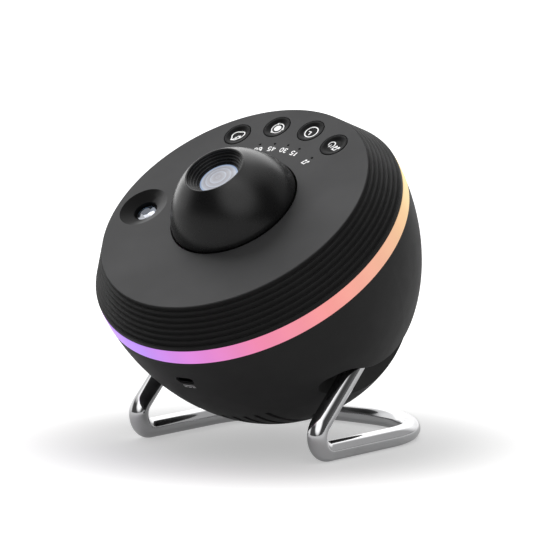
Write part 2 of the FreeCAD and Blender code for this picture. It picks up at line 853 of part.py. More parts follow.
standoff_rows = (main_board_front + standoff_inset, main_board_rear - standoff_inset)
standoffs = [(x, y) for x in (-standoff_x, standoff_x) for y in standoff_rows]
well_posts = [(x, y) for x in (-well_post_x, well_post_x) for y in (-well_post_y, well_post_y)]
inlet_mouth_y = -(housing_radius / housing_depth) * math.sqrt(
    housing_depth**2 - (inlet_height - housing_centre)**2)
socket_bottom = inlet_height - socket_tall / 2
inlet_board_half = inlet_board_width / 2
inlet_board_front = inlet_mouth_y + housing_wall + inlet_board_gap
inlet_board_rear = inlet_board_front + inlet_board_length
inlet_screws = [(x, inlet_board_rear - inlet_screw_inset)
                for x in (-inlet_screw_x, inlet_screw_x)]


def rounded_slot(width, tall, y_low, y_high, z):
    """Rounded slot along Y, centred on X = 0."""
    radius = tall / 2
    half = width / 2 - radius
    length = y_high - y_low
    along = Vector(0, 1, 0)
    ends = [Part.makeCylinder(radius, length, Vector(x, y_low, z), along) for x in (-half, half)]
    return fused([block(-half, half, y_low, y_high, z - radius, z + radius)] + ends)


def lower_housing():
    """Rounded lower shell with stand pockets, speaker seat, vents and screw wells."""
    top = -ring_height
    outer = shell_body(0.0, top)
    inner = shell_body(housing_wall, 0.0)
    shell = without(outer.cut(inner), vent_cutters())

    lip_low = top - lip_depth
    lip_inner = lip_outer_radius - lip_wall
    lip = tube(lip_outer_radius, lip_inner, lip_low, lip_top)
    web = tube(housing_radius, lip_inner, lip_low, lip_low + lip_web).common(outer)
    adds = [lip, web]

    pocket_body = pocket_prism(pocket_wall).common(outer)
    adds += [pocket_body, mirrored(pocket_body)]
    boss_inner = pocket_inner - pivot_boss_depth
    boss = cross_cylinder(pivot_boss_radius, boss_inner, pocket_inner, 0, -pivot_drop)
    adds += [boss, mirrored(boss)]

    deep = -housing_depth - past
    well_outer = screw_well_radius + screw_well_wall
    adds += [cylinder(well_outer, deep, boss_under, x, y).common(outer) for x, y in well_posts]
    board_under = main_board_top - board_thick
    adds += [cylinder(standoff_radius, deep, board_under, x, y).common(outer)
             for x, y in standoffs]

    seat = tube(speaker_radius, speaker_radius - speaker_ring_wall, -past, speaker_ring_height)
    adds.append(on_speaker_axis(seat).common(shell_body(housing_wall, top)))

    bracket_top = socket_bottom - inlet_board_thick
    for side in (-1, 1):
        x_low, x_high = sorted((side * bracket_inner, side * (inlet_board_half + bracket_spare)))
        bracket = block(x_low, x_high, inlet_mouth_y - past, inlet_board_rear,
                        bracket_top - bracket_tall, bracket_top)
        adds.append(bracket.common(outer))
    housing = fused([shell] + adds)

    cuts = [pocket_prism(0.0), mirrored(pocket_prism(0.0))]
    bore = cross_cylinder(bush_radius + slip_gap, boss_inner, pocket_inner, 0, -pivot_drop)
    cuts += [bore, mirrored(bore)]
    hole = screw_radius + seat_gap
    for x, y in well_posts:
        cuts.append(cylinder(screw_well_radius, deep, boss_under - screw_well_floor, x, y))
        cuts.append(cylinder(hole, boss_under - screw_well_floor, boss_under, x, y))
    pilot = small_screw_radius + slip_gap
    pilot_foot = board_under - main_screw_bite - pilot_spare
    cuts += [cylinder(pilot, pilot_foot, board_under, x, y) for x, y in standoffs]
    pilot_foot = bracket_top - inlet_screw_bite - pilot_spare
    cuts += [cylinder(pilot, pilot_foot, bracket_top, x, y) for x, y in inlet_screws]
    cuts.append(rounded_slot(inlet_width, inlet_tall, inlet_mouth_y - past,
                             inlet_board_front, inlet_height))
    return without(housing, cuts)


# ------------------------------------------------------------- pivot and stand
pivot_bush_inner = pocket_inner - pivot_boss_depth
washer_inner = pivot_bush_inner - running_gap - washer_thick
nut_inner = washer_inner - nut_thick
axle_end = nut_inner - axle_spare
axle_outer = hub_inner + hub_thick - hub_skin


def pivot_bush():
    """Flanged plain bush in the pocket's inner wall."""
    sleeve = cross_cylinder(bush_radius, pivot_bush_inner, pocket_inner, 0, -pivot_drop)
    flange = cross_cylinder(bush_flange_radius, pocket_inner, pocket_inner + bush_flange, 0,
                            -pivot_drop)
    bore = cross_cylinder(axle_radius + running_gap, pivot_bush_inner,
                          pocket_inner + bush_flange, 0, -pivot_drop)
    return fused([sleeve, flange]).cut(bore)


def stand_rod():
    """One chrome rod, bent into two rails, a rear bow and two leaning uprights."""
    lean = math.radians(upright_angle)
    height = rod_radius
    upward = Vector(0, math.cos(lean), math.sin(lean))
    reach = (pivot_z - height) / math.sin(lean)
    front = Vector(rail_x, pivot_y, pivot_z) - upward * reach
    upper_end = front + upward * (reach - rod_end_gap)
    cut_back = front_bend_radius / math.tan(lean / 2)
    bend_up = front + upward * cut_back
    bend_out = front + Vector(0, cut_back, 0)
    bisector = (upward + Vector(0, 1, 0)).normalize()
    to_centre = front_bend_radius / math.sin(lean / 2)
    bend_middle = front + bisector * (to_centre - front_bend_radius)
    rail_end = Vector(rail_x, head_y + rail_end_y, height)
    bow_centre = Vector(rail_x - rear_bend_radius, head_y + rail_end_y, height)
    half_turn = math.sqrt(0.5) * rear_bend_radius
    bow_middle = bow_centre + Vector(half_turn, half_turn, 0)
    bow_end = bow_centre + Vector(0, rear_bend_radius, 0)

    def other(point):
        return Vector(-point.x, point.y, point.z)

    side = [Part.makeLine(upper_end, bend_up),
            Part.Arc(bend_up, bend_middle, bend_out).toShape(),
            Part.makeLine(bend_out, rail_end),
            Part.Arc(rail_end, bow_middle, bow_end).toShape()]
    far_side = [Part.Arc(other(bow_end), other(bow_middle), other(rail_end)).toShape(),
                Part.makeLine(other(rail_end), other(bend_out)),
                Part.Arc(other(bend_out), other(bend_middle), other(bend_up)).toShape(),
                Part.makeLine(other(bend_up), other(upper_end))]
    path = Part.Wire(side + [Part.makeLine(bow_end, other(bow_end))] + far_side)
    section = Part.Wire(Part.makeCircle(rod_radius, upper_end, upward * -1))
    return path.makePipeShell([section], True, False)


def pivot_hubs(rod):
    """Round end pieces on the rod, bored for the rod's end and for the axle."""
    hub = cross_cylinder(hub_radius, hub_inner, hub_inner + hub_thick, pivot_y, pivot_z)
    bore = cross_cylinder(axle_radius + slip_gap, hub_inner, axle_outer, pivot_y, pivot_z)
    return both_sides(hub.cut(bore).cut(rod))


def pivot_axles():
    """Short axles that run from the hubs through the bushes to their nuts."""
    return both_sides(cross_cylinder(axle_radius, axle_end, axle_outer, pivot_y, pivot_z))


def friction_washers():
    """Spring washers that hold the head at any tilt."""
    outer = washer_inner + washer_thick
    washer = cross_cylinder(washer_radius, washer_inner, outer, pivot_y, pivot_z)
    bore = cross_cylinder(axle_radius + slip_gap, washer_inner, outer, pivot_y, pivot_z)
    return both_sides(washer.cut(bore))


def lock_nuts():
    """Hexagon nuts at the axles' inner ends."""
    across = nut_flats / math.sqrt(3)
    corners = []
    for index in range(7):
        turn = math.radians(60 * index)
        corners.append(Vector(nut_inner, pivot_y + across * math.cos(turn),
                              pivot_z + across * math.sin(turn)))
    nut = Part.Face(Part.makePolygon(corners)).extrude(Vector(nut_thick, 0, 0))
    bore = cross_cylinder(axle_radius + slip_gap, nut_inner, nut_inner + nut_thick, pivot_y,
                          pivot_z)
    return both_sides(nut.cut(bore))


# --------------------------------------------------------- chassis and optics
module_places = [(laser_x, laser_y + way * laser_screw_offset) for way in (-1, 1)]
motor_places = [(pinion_x, pinion_y + way * motor_screw_offset) for way in (-1, 1)]
barrel_places = around(barrel_screw_circle, barrel_screw_angles)


def chassis():
    """Round plate inside the head that carries the optics, motor and laser."""
    plate = cylinder(chassis_radius, chassis_under, chassis_top)
    bosses = [cylinder(chassis_boss_radius, boss_under, chassis_under, x, y)
              for x, y in well_posts]
    body = fused([plate] + bosses)
    openings = [(lamp_board_radius + chassis_clearance, 0.0, 0.0),
                (laser_module_radius + chassis_clearance, laser_x, laser_y),
                (motor_shaft_radius + chassis_clearance, pinion_x, pinion_y),
                (wire_hole_radius, wire_hole_x, 0.0)]
    openings += [(screw_radius + seat_gap, x, y) for x, y in cover_posts]
    openings += [(small_screw_radius + seat_gap, x, y) for x, y in motor_places + barrel_places]
    openings += [(small_screw_radius + slip_gap, x, y) for x, y in module_places]
    cuts = [cylinder(radius, chassis_under, chassis_top, x, y) for radius, x, y in openings]
    cuts += [cylinder(screw_radius + slip_gap, boss_under, chassis_top - chassis_skin, x, y)
             for x, y in well_posts]
    return without(body, cuts)


def optics_barrel():
    """Fixed barrel round the lamp; the nebula gear turns on its upper end."""
    flange_top = chassis_top + flange_thick
    inner = barrel_bore
    ledge = inner - barrel_ledge
    ledge_under = condenser_bottom - barrel_ledge_thick
    outline = [(inner, chassis_top), (barrel_flange_radius, chassis_top),
               (barrel_flange_radius, flange_top), (barrel_shoulder_radius, flange_top),
               (barrel_shoulder_radius, gear_seat), (barrel_journal_radius, gear_seat),
               (barrel_journal_radius, journal_top), (inner, journal_top),
               (inner, condenser_bottom), (ledge, condenser_bottom),
               (ledge, ledge_under), (inner, ledge_under)]
    holes = [cylinder(small_screw_radius + seat_gap, chassis_top, flange_top, x, y)
             for x, y in barrel_places]
    return without(turned(outline), holes)


def condenser_lens():
    """Lens that gathers the lamp's light, seated on the barrel's inner ledge."""
    half = condenser_thick / 2
    return bulging_lens(barrel_bore - slip_gap, condenser_bottom, condenser_bottom + half, half)


def heatsink():
    """Finned aluminium block under the chassis, with the lamp board on its face."""
    plate_bottom = chassis_under - heatsink_plate
    plate = cylinder(barrel_flange_radius, plate_bottom, chassis_under)
    fins = []
    for index in range(fin_count):
        x = (index - (fin_count - 1) / 2) * fin_pitch
        half = math.sqrt((barrel_flange_radius - fin_inset)**2 - x**2)
        fins.append(block(x - fin_thick / 2, x + fin_thick / 2, -half, half,
                          heatsink_bottom, plate_bottom))
    body = fused([plate] + fins).common(
        cylinder(barrel_flange_radius, heatsink_bottom, chassis_under))
    foot = chassis_under - heatsink_screw_bite - pilot_spare
    pilots = [cylinder(small_screw_radius + slip_gap, foot, chassis_under, x, y)
              for x, y in barrel_places]
    return without(body, pilots)


lamp_board_top = chassis_under + board_thick


def lamp_board():
    """Round board on the heatsink."""
    return cylinder(lamp_board_radius, chassis_under, lamp_board_top)


def lamp_chips():
    """Four lamp chips in the middle of the lamp board."""
    near = lamp_chip_gap / 2
    far = near + lamp_chip_side
    top = lamp_board_top + lamp_chip_thick
    spans = ((-far, -near), (near, far))
    return Part.makeCompound([block(*x_span, *y_span, lamp_board_top, top)
                              for x_span in spans for y_span in spans])


# ---------------------------------------------------------------- gear train
def involute(angle):
    """Involute function of a pressure angle in radians."""
    return math.tan(angle) - angle


def gear_blank(teeth, phase):
    """Spur gear blank at the origin, with a tooth centred on the angle `phase` (radians)."""
    pitch_radius = gear_module * teeth / 2
    base_radius = pitch_radius * math.cos(math.radians(pressure_angle))
    tip_radius = pitch_radius + gear_module * tooth_addendum
    root_radius = pitch_radius - gear_module * tooth_dedendum
    half_tooth = (math.pi * gear_module / 2 - backlash) / 2 / pitch_radius
    half_tooth += involute(math.radians(pressure_angle))
    start = max(root_radius, base_radius)
    flank = []
    for index in range(flank_steps + 1):
        radius = start + (tip_radius - start) * index / flank_steps
        flank.append((radius, half_tooth - involute(math.acos(base_radius / radius))))
    if root_radius < start:
        flank.insert(0, (root_radius, flank[0][1]))
    corners = []
    for tooth in range(teeth):
        centre = phase + 2 * math.pi * tooth / teeth
        sides = [(radius, centre - turn) for radius, turn in flank]
        sides += [(radius, centre + turn) for radius, turn in reversed(flank)]
        corners += [Vector(r * math.cos(turn), r * math.sin(turn), gear_bottom)
                    for r, turn in sides]
    outline = Part.makePolygon(corners + corners[:1])
    return Part.Face(outline).extrude(Vector(0, 0, gear_thick))


def meshing_phase(teeth, phase, direction, partner_teeth):
    """Phase of a partner gear that lies in `direction` and meshes with the first gear."""
    pitch = 2 * math.pi / teeth
    offset = ((direction - phase) / pitch) % 1.0
    return direction + math.pi - (0.5 - offset) * 2 * math.pi / partner_teeth


pinion_phase = meshing_phase(nebula_teeth, 0.0, pinion_angle, pinion_teeth)
grating_direction = math.atan2(laser_y - pinion_y, laser_x - pinion_x)
grating_phase = meshing_phase(pinion_teeth, pinion_phase, grating_direction, grating_teeth)


def ring_gear(teeth, phase, bore, disc_radius, x, y):
    """Gear that turns on a journal and carries a disc in a recess on top."""
    blank = gear_blank(teeth, phase)
    hole = cylinder(bore, gear_bottom, gear_top)
    recess = cylinder(disc_radius + slip_gap, disc_bottom, gear_top)
    gear = without(blank, [hole, recess])
    gear.translate(Vector(x, y, 0))
    return gear


def drive_pinion():
    """Motor pinion between the two ring gears."""
    bore = cylinder(motor_shaft_radius + slip_gap, gear_bottom, gear_top)
    pinion = gear_blank(pinion_teeth, pinion_phase).cut(bore)
    pinion.translate(Vector(pinion_x, pinion_y, 0))
    return pinion


motor_bottom = chassis_under - motor_length
shaft_foot = motor_bottom + motor_floor


def drive_motor():
    """Motor can under the chassis, open on top for its shaft."""
    can = cylinder(motor_radius, motor_bottom, chassis_under, pinion_x, pinion_y)
    cuts = [cylinder(motor_shaft_radius + running_gap, shaft_foot, chassis_under,
                     pinion_x, pinion_y)]
    foot = chassis_under - motor_screw_bite - pilot_spare
    cuts += [cylinder(small_screw_radius + slip_gap, foot, chassis_under, x, y)
             for x, y in motor_places]
    return without(can, cuts)


def motor_shaft():
    """Shaft from the motor up through the pinion."""
    return cylinder(motor_shaft_radius, shaft_foot + running_gap, gear_top + shaft_spare,
                    pinion_x, pinion_y)


# --------------------------------------------------------------- star laser
def laser_holder():
    """Holder on the chassis; the star grating's gear turns on its upper end."""
    flange_top = chassis_top + flange_thick
    bore = laser_module_radius + slip_gap
    holder = turned([(bore, chassis_top), (laser_holder_flange_radius, chassis_top),
                     (laser_holder_flange_radius, flange_top),
                     (laser_shoulder_radius, flange_top), (laser_shoulder_radius, gear_seat),
                     (laser_journal_radius, gear_seat), (laser_journal_radius, journal_top),
                     (bore, journal_top)])
    holder.translate(Vector(laser_x, laser_y, 0))
    holes = [cylinder(small_screw_radius + seat_gap, chassis_top, flange_top, x, y)
             for x, y in module_places]
    return without(holder, holes)


def laser_module():
    """Brass laser module with its small exit hole on top."""
    body = cylinder(laser_module_radius, laser_module_bottom, laser_module_top,
                    laser_x, laser_y)
    exit_hole = cylinder(laser_exit_radius, laser_module_top - laser_exit_depth,
                         laser_module_top, laser_x, laser_y)
    return body.cut(exit_hole)


def laser_window():
    """Cut glass window at the bottom of the plate's cone."""
    radius = laser_hole_radius - slip_gap
    bevel_foot = laser_seat_height + laser_window_thick - laser_window_bevel
    edge = cylinder(radius, laser_seat_height, bevel_foot, laser_x, laser_y)
    crown = Part.makeCone(radius, radius - laser_window_facet, laser_window_bevel,
                          Vector(laser_x, laser_y, bevel_foot), Z_AXIS)
    return fused([edge, crown])


# ------------------------------------------------------ main board and speaker
def main_board():
    """Main board on four standoffs at the bottom of the head."""
    half = main_board_width / 2
    bottom = main_board_top - board_thick
    board = block(-half, half, main_board_front, main_board_rear, bottom, main_board_top)
    holes = [cylinder(small_screw_radius + seat_gap, bottom, main_board_top, x, y)
             for x, y in standoffs]
    return without(board, holes)


def board_parts():
    """Chips, capacitors and plug sockets on the main board."""
    top = main_board_top
    middle = (main_board_front + main_board_rear) / 2
    parts = []
    for side, tall, x, y in board_chips:
        half = side / 2
        parts.append(block(x - half, x + half, middle + y - half, middle + y + half, top,
                           top + tall))
    rear = main_board_rear - board_plug_inset
    front = main_board_front + board_plug_inset
    for width, low in ((rear_plug_width, rear - board_plug_depth), (front_plug_width, front)):
        parts.append(block(-width / 2, width / 2, low, low + board_plug_depth, top,
                           top + board_plug_tall))
    parts += [cylinder(capacitor_radius, top, top + capacitor_tall, x, middle + y)
              for x, y in capacitor_places]
    return Part.makeCompound(parts)


def speaker():
    """Speaker basket and magnet, seated on the shell's ring behind the vents."""
    rear = speaker_ring_height + speaker_flange
    rim = speaker_radius - speaker_ring_wall
    basket_rear = rear + basket_depth
    basket_floor = basket_rear - basket_wall
    body = turned([(rim, speaker_ring_height), (speaker_radius, speaker_ring_height),
                   (speaker_radius, rear), (rim + basket_wall, rear),
                   (magnet_radius, basket_rear), (magnet_radius, basket_rear + magnet_depth),
                   (0.0, basket_rear + magnet_depth), (0.0, basket_floor),
                   (magnet_radius - voice_gap, basket_floor), (rim, rear)])
    return on_speaker_axis(body)


def speaker_cone():
    """Speaker's paper cone with its dust cap."""
    rim = speaker_radius - speaker_ring_wall - slip_gap
    low = speaker_ring_height + cone_lift
    front = [(0.0, low + cone_depth + dust_cap_rise), (dust_cap_radius, low + cone_depth),
             (rim - cone_edge, low), (rim, low)]
    rear = [(radius, height + cone_thick) for radius, height in reversed(front)]
    return on_speaker_axis(turned(front + rear))


# ------------------------------------------------------------- power inlet
def power_socket():
    """Power socket shell with its contact tongue."""
    y_low = inlet_mouth_y + socket_setback
    y_high = y_low + socket_depth
    shell = rounded_slot(socket_width, socket_tall, y_low, y_high, inlet_height)
    hollow = rounded_slot(socket_width - 2 * socket_wall, socket_tall - 2 * socket_wall,
                          y_low, y_high - socket_back, inlet_height)
    tongue = block(-tongue_width / 2, tongue_width / 2, y_low + tongue_setback, y_high,
                   inlet_height - tongue_thick / 2, inlet_height + tongue_thick / 2)
    return fused([shell.cut(hollow), tongue])


def inlet_board():
    """Small board that carries the power socket."""
    top = socket_bottom
    board = block(-inlet_board_half, inlet_board_half, inlet_board_front, inlet_board_rear,
                  top - inlet_board_thick, top)
    holes = [cylinder(small_screw_radius + seat_gap, top - inlet_board_thick, top, x, y)
             for x, y in inlet_screws]
    return without(board, holes)


# ---------------------------------------------------------------- fasteners
def housing_screws():
    """Long screws from the housing's wells up into the chassis."""
    seat = boss_under - screw_well_floor
    bite = chassis_boss_drop + chassis_thick - chassis_skin - pilot_spare
    length = screw_well_floor + bite
    return Part.makeCompound([
        screw(screw_radius, screw_head, screw_head_radius, length, x, y, seat)
        for x, y in well_posts])


def cover_screws():
    """Screws from under the chassis up into the cover's posts."""
    length = chassis_thick + cover_screw_bite
    return Part.makeCompound([
        screw(screw_radius, screw_head, screw_head_radius, length, x, y, chassis_under)
        for x, y in cover_posts])


def small_screws(places, seat, length, points_up):
    """Small screws of one length against one height."""
    return [screw(small_screw_radius, small_head, small_head_radius, length, x, y, seat,
                  points_up) for x, y in places]


def dome_fixings():
    """Screws that clamp the dome's flange under the plate."""
    seat = plate_under - dome_flange
    length = dome_flange + dome_screw_bite
    return Part.makeCompound(small_screws(dome_screws, seat, length, True))


def board_screws():
    """Screws of the control board, the main board and the inlet board."""
    control = small_screws(control_bosses, control_board_top - board_thick,
                           board_thick + control_screw_bite, True)
    main = small_screws(standoffs, main_board_top, board_thick + main_screw_bite, False)
    inlet = small_screws(inlet_screws, socket_bottom, inlet_board_thick + inlet_screw_bite,
                         False)
    return Part.makeCompound(control + main + inlet)


def optics_screws():
    """Screws of the barrel and heatsink, the motor and the laser holder."""
    flange_top = chassis_top + flange_thick
    through = flange_thick + chassis_thick
    barrel = small_screws(barrel_places, flange_top, through + heatsink_screw_bite, False)
    motor = small_screws(motor_places, chassis_top, chassis_thick + motor_screw_bite, False)
    laser = small_screws(module_places, flange_top, through - pilot_spare, False)
    return Part.makeCompound(barrel + motor + laser)


# -------------------------------------------------------------------- export
os.makedirs("parts", exist_ok=True)

rod = stand_rod()
export("stand_rod", rod)
export("pivot_hubs", pivot_hubs(rod))
export("pivot_axles", pivot_axles())
export("friction_washers", friction_washers())
export("lock_nuts", lock_nuts())

export_head("lower_housing", lower_housing())
export_head("pivot_bushes", both_sides(pivot_bush()))
export_head("light_ring", light_ring())
export_head("ring_light_strip", ring_strip())
export_head("ring_lamps", ring_lamps())
export_head("top_cover", top_cover())
export_head("projector_dome", projector_dome())
export_head("lens_baffle", lens_baffle())
export_head("front_lens", bulging_lens(lens_radius, tube_top, lens_seat, lens_bulge))
export_head("lens_tube", lens_tube())
export_head("rear_lens", rear_lens())

for name, (x, y) in zip(button_names, button_places):
    export_head(f"{name}_button", button(x, y))
export_head("button_switches", button_switches())
export_head("control_board", control_board())
export_head("indicator_lamps", indicator_lamps())
export_head("indicator_guides", indicator_guides())

export_head("chassis", chassis())
export_head("optics_barrel", optics_barrel())
export_head("condenser_lens", condenser_lens())
export_head("lamp_board", lamp_board())
export_head("lamp_chips", lamp_chips())
export_head("heatsink", heatsink())
export_head("nebula_gear", ring_gear(nebula_teeth, 0.0, barrel_journal_radius + running_gap,
                                     nebula_disc_radius, 0, 0))
export_head("nebula_disc", cylinder(nebula_disc_radius, disc_bottom, gear_top))
export_head("drive_motor", drive_motor())
export_head("motor_shaft", motor_shaft())
export_head("drive_pinion", drive_pinion())
export_head("laser_holder", laser_holder())
export_head("laser_module", laser_module())
export_head("grating_gear", ring_gear(grating_teeth, grating_phase,
                                      laser_journal_radius + running_gap,
                                      grating_disc_radius, laser_x, laser_y))
export_head("star_grating", cylinder(grating_disc_radius, disc_bottom, gear_top,
                                     laser_x, laser_y))
export_head("laser_window", laser_window())
export_head("main_board", main_board())
export_head("main_board_parts", board_parts())
export_head("speaker", speaker())
export_head("speaker_cone", speaker_cone())
export_head("power_socket", power_socket())
export_head("inlet_board", inlet_board())
export_head("housing_screws", housing_screws())
export_head("cover_screws", cover_screws())
export_head("dome_screws", dome_fixings())
export_head("board_screws", board_screws())
export_head("optics_screws", optics_screws())
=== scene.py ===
import json
import math

import bmesh
import bpy
from bpy.props import (BoolProperty, FloatProperty, FloatVectorProperty, IntProperty,
                       PointerProperty)
from mathutils import Matrix, Vector


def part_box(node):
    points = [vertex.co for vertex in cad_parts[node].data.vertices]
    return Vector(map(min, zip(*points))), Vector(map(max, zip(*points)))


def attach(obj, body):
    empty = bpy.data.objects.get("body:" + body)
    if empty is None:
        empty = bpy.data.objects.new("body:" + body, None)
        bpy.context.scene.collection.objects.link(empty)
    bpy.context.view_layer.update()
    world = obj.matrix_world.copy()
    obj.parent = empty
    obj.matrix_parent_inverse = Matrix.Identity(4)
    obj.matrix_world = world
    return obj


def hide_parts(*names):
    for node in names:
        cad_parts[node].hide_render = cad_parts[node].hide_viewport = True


bl_info = {
    "name": "Planetarium projector finish",
    "version": (1, 0, 0),
    "blender": (4, 5, 0),
    "location": "View3D > Sidebar > Projector",
    "description": "Dresses the packed planetarium projector and sets its studio",
    "category": "Object",
}

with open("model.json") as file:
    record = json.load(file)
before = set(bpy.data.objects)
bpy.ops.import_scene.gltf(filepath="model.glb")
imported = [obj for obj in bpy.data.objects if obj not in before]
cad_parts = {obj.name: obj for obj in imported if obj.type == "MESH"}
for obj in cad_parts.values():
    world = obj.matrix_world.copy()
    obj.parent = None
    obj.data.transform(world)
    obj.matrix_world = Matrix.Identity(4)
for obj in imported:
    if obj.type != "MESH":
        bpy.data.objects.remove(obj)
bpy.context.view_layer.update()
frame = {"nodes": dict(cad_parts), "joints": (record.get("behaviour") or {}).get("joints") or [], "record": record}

# The meshes are made in millimetres. Those of the head are made in the head's own frame,
# with its origin on the seam under the skirt and Z along the projection axis.
MM = 0.001
JOINTS = {joint["name"]: joint for joint in frame["joints"]}
SEAM = Vector(JOINTS["nebula_spin"]["pos_m"])
AXIS = Vector(JOINTS["nebula_spin"]["axis"]).normalized()
HEAD = Matrix.Translation(SEAM) @ Vector((0, 0, 1)).rotation_difference(AXIS).to_matrix().to_4x4()
PIVOT = Vector(JOINTS["head_tilt"]["pos_m"])
PLAIN = Matrix.Identity(4)


# ------------------------------------------------------------------ settings
def length_setting(name, description, default):
    """Setting for a length in metres."""
    return FloatProperty(name=name, description=description, default=default, unit="LENGTH")


def angle_setting(name, description, degrees):
    """Setting for an angle, its default given in degrees."""
    return FloatProperty(name=name, description=description, default=math.radians(degrees),
                         subtype="ANGLE")


def level_setting(name, description, default):
    """Setting for a brightness or strength."""
    return FloatProperty(name=name, description=description, default=default, min=0)


def colour_setting(name, description, default):
    """Setting for a colour."""
    return FloatVectorProperty(name=name, description=description, default=default,
                               subtype="COLOR", min=0, max=1)


class ProjectorHeadSizes(bpy.types.PropertyGroup):
    """Sizes of the head's visible mouldings, in the head's own frame."""

    plate_radius: length_setting("Plate radius", "Flat control plate", 0.06522)
    plate_height: length_setting("Plate height", "Plate above the seam", 0.01772)
    skirt_radius: length_setting("Skirt radius", "Stepped skirt at the seam", 0.075)
    step_count: IntProperty(
        name="Steps", description="Risers of the stepped skirt", default=8, min=1)
    edge_rounding: length_setting("Edge rounding", "Radius of the moulded edges", 0.0003)
    ring_radius: length_setting("Light ring radius", "Outside of the light ring", 0.0752)
    ring_height: length_setting("Light ring height", "Height of the light ring", 0.0075)
    shell_radius: length_setting(
        "Housing radius", "Widest radius of the lower housing", 0.07522)
    shell_half_height: length_setting(
        "Housing half height", "Half height of the housing's ellipsoid", 0.0929)
    shell_middle: length_setting(
        "Housing middle", "Height of the ellipsoid's centre from the seam", -0.00213)
    dome_base: length_setting("Dome base radius", "Dome where it meets the plate", 0.0305)
    dome_gap: length_setting("Dome gap", "Gap between the dome and the plate", 0.0004)
    cone_radius: length_setting("Laser recess radius", "Rim of the laser's recess", 0.01185)
    cone_depth: length_setting("Laser recess depth", "Depth of the laser's recess", 0.0025)


class ProjectorButtonSizes(bpy.types.PropertyGroup):
    """Sizes of the push buttons and the indicator marks."""

    well_radius: length_setting("Well radius", "Hole in the plate round a button", 0.0068)
    cap_radius: length_setting("Cap radius", "Outside of a button cap", 0.0065)
    dish_radius: length_setting("Dish radius", "Hollow of a button cap", 0.0059)
    dish_depth: length_setting("Dish depth", "Depth of the hollow", 0.0009)
    circle: length_setting("Button circle", "Distance from the projection axis", 0.0533)
    indicator_circle: length_setting(
        "Indicator circle", "Distance from the projection axis", 0.0418)
    mark_lift: length_setting(
        "Mark lift", "Height of printed marks above their surface", 0.00005)


class ProjectorStandSizes(bpy.types.PropertyGroup):
    """Sizes of the bent rod stand."""

    rod_radius: length_setting("Rod radius", "Half the rod's thickness", 0.00455)
    rail_x: length_setting("Rail distance", "Rails from the middle", 0.0518)
    rail_end: length_setting("Rail end", "Rear end of the straight rails", 0.0393)
    rear_bend: length_setting("Rear bend radius", "Radius of the two rear bends", 0.0454)
    front_bend: length_setting("Front bend radius", "Radius of the two front bends", 0.0075)
    lean: angle_setting("Upright angle", "Slope of the uprights", 42.9)
    rod_end: length_setting("Rod end", "Rod's end before the pivot axis", 0.0052)


class ProjectorFinishes(bpy.types.PropertyGroup):
    """Colours of the visible finishes."""

    plate: colour_setting("Plate", "Matte grey of the control plate", (0.073, 0.073, 0.074))
    shell: colour_setting("Housing", "Satin black of the lower housing", (0.040, 0.040, 0.0402))
    dome: colour_setting("Dome", "Black of the dome", (0.006, 0.006, 0.0062))
    button: colour_setting("Buttons", "Black of the button caps", (0.010, 0.010, 0.0102))
    rod: colour_setting("Rod", "Chrome of the stand", (0.62, 0.62, 0.63))
    marks: colour_setting("Marks", "White of the printed marks", (0.88, 0.88, 0.88))
    ring_glow: level_setting("Ring glow", "Strength of the light ring", 0.88)
    lens_glow: level_setting("Lens glow", "Strength of the lit lens", 0.5)


class ProjectorStage(bpy.types.PropertyGroup):
    """Camera, floor and lamps."""

    azimuth: angle_setting("Camera azimuth", "Camera's place round the projector", 38.26)
    elevation: angle_setting("Camera elevation", "Camera's height angle", 7.07)
    camera_place: FloatVectorProperty(
        name="Camera place", description="Camera's position", subtype="TRANSLATION",
        default=(1.0791, -1.3688, 0.2977))
    lens: FloatProperty(
        name="Lens", description="Focal length in millimetres", default=260.0, min=1)
    sky: level_setting("Fill level", "Strength of the studio's fill light", 0.08)
    matte_sky: level_setting("Matte fill level", "Fill light on matte surfaces", 0.12)
    sides: level_setting("Bright sides", "Strength of the studio's bright sides", 1.0)
    key: FloatProperty(
        name="Overhead light", description="Power of the large lamp overhead", default=2.5,
        subtype="POWER", min=0)
    sun: level_setting("Key light", "Strength of the key light from the upper left", 6.2)
    sun_angle: angle_setting(
        "Key light width", "How wide, and so how soft, the key light is", 44)
    floor_glow: level_setting(
        "Floor glow", "Brightness added to the floor in the shadow", 0.42)
    floor_white: level_setting(
        "Floor white", "Brightness added to the floor outside the shadow", 1.04)
    shadow_near: length_setting("Shadow start", "Where the floor begins to whiten", 0.065)
    shadow_far: length_setting("Shadow end", "Where the floor is white", 0.178)
    show_floor: BoolProperty(
        name="Floor", description="Whether the floor is made", default=True)


# ------------------------------------------------------------------- meshes
# A rounding takes this share of the shorter edge beside it at most.
MOST_OF_EDGE = 0.45
# A point this share of a rounding's length outside it keeps the flats beside it flat.
SUPPORT = 0.12
NEARLY_STRAIGHT = math.radians(178)
ON_AXIS = 1e-6


def circle_points(count):
    """Directions round a full turn."""
    return [(math.cos(2 * math.pi * i / count), math.sin(2 * math.pi * i / count))
            for i in range(count)]


def on_circle(radius, degrees):
    """Point on a circle about the projection axis."""
    turn = math.radians(degrees)
    return radius * math.cos(turn), radius * math.sin(turn)


def arc(centre, radius, start, end, steps):
    """Points of an arc about centre between two angles in degrees."""
    turns = [math.radians(start + (end - start) * i / steps) for i in range(steps + 1)]
    return [(centre[0] + radius * math.cos(t), centre[1] + radius * math.sin(t)) for t in turns]


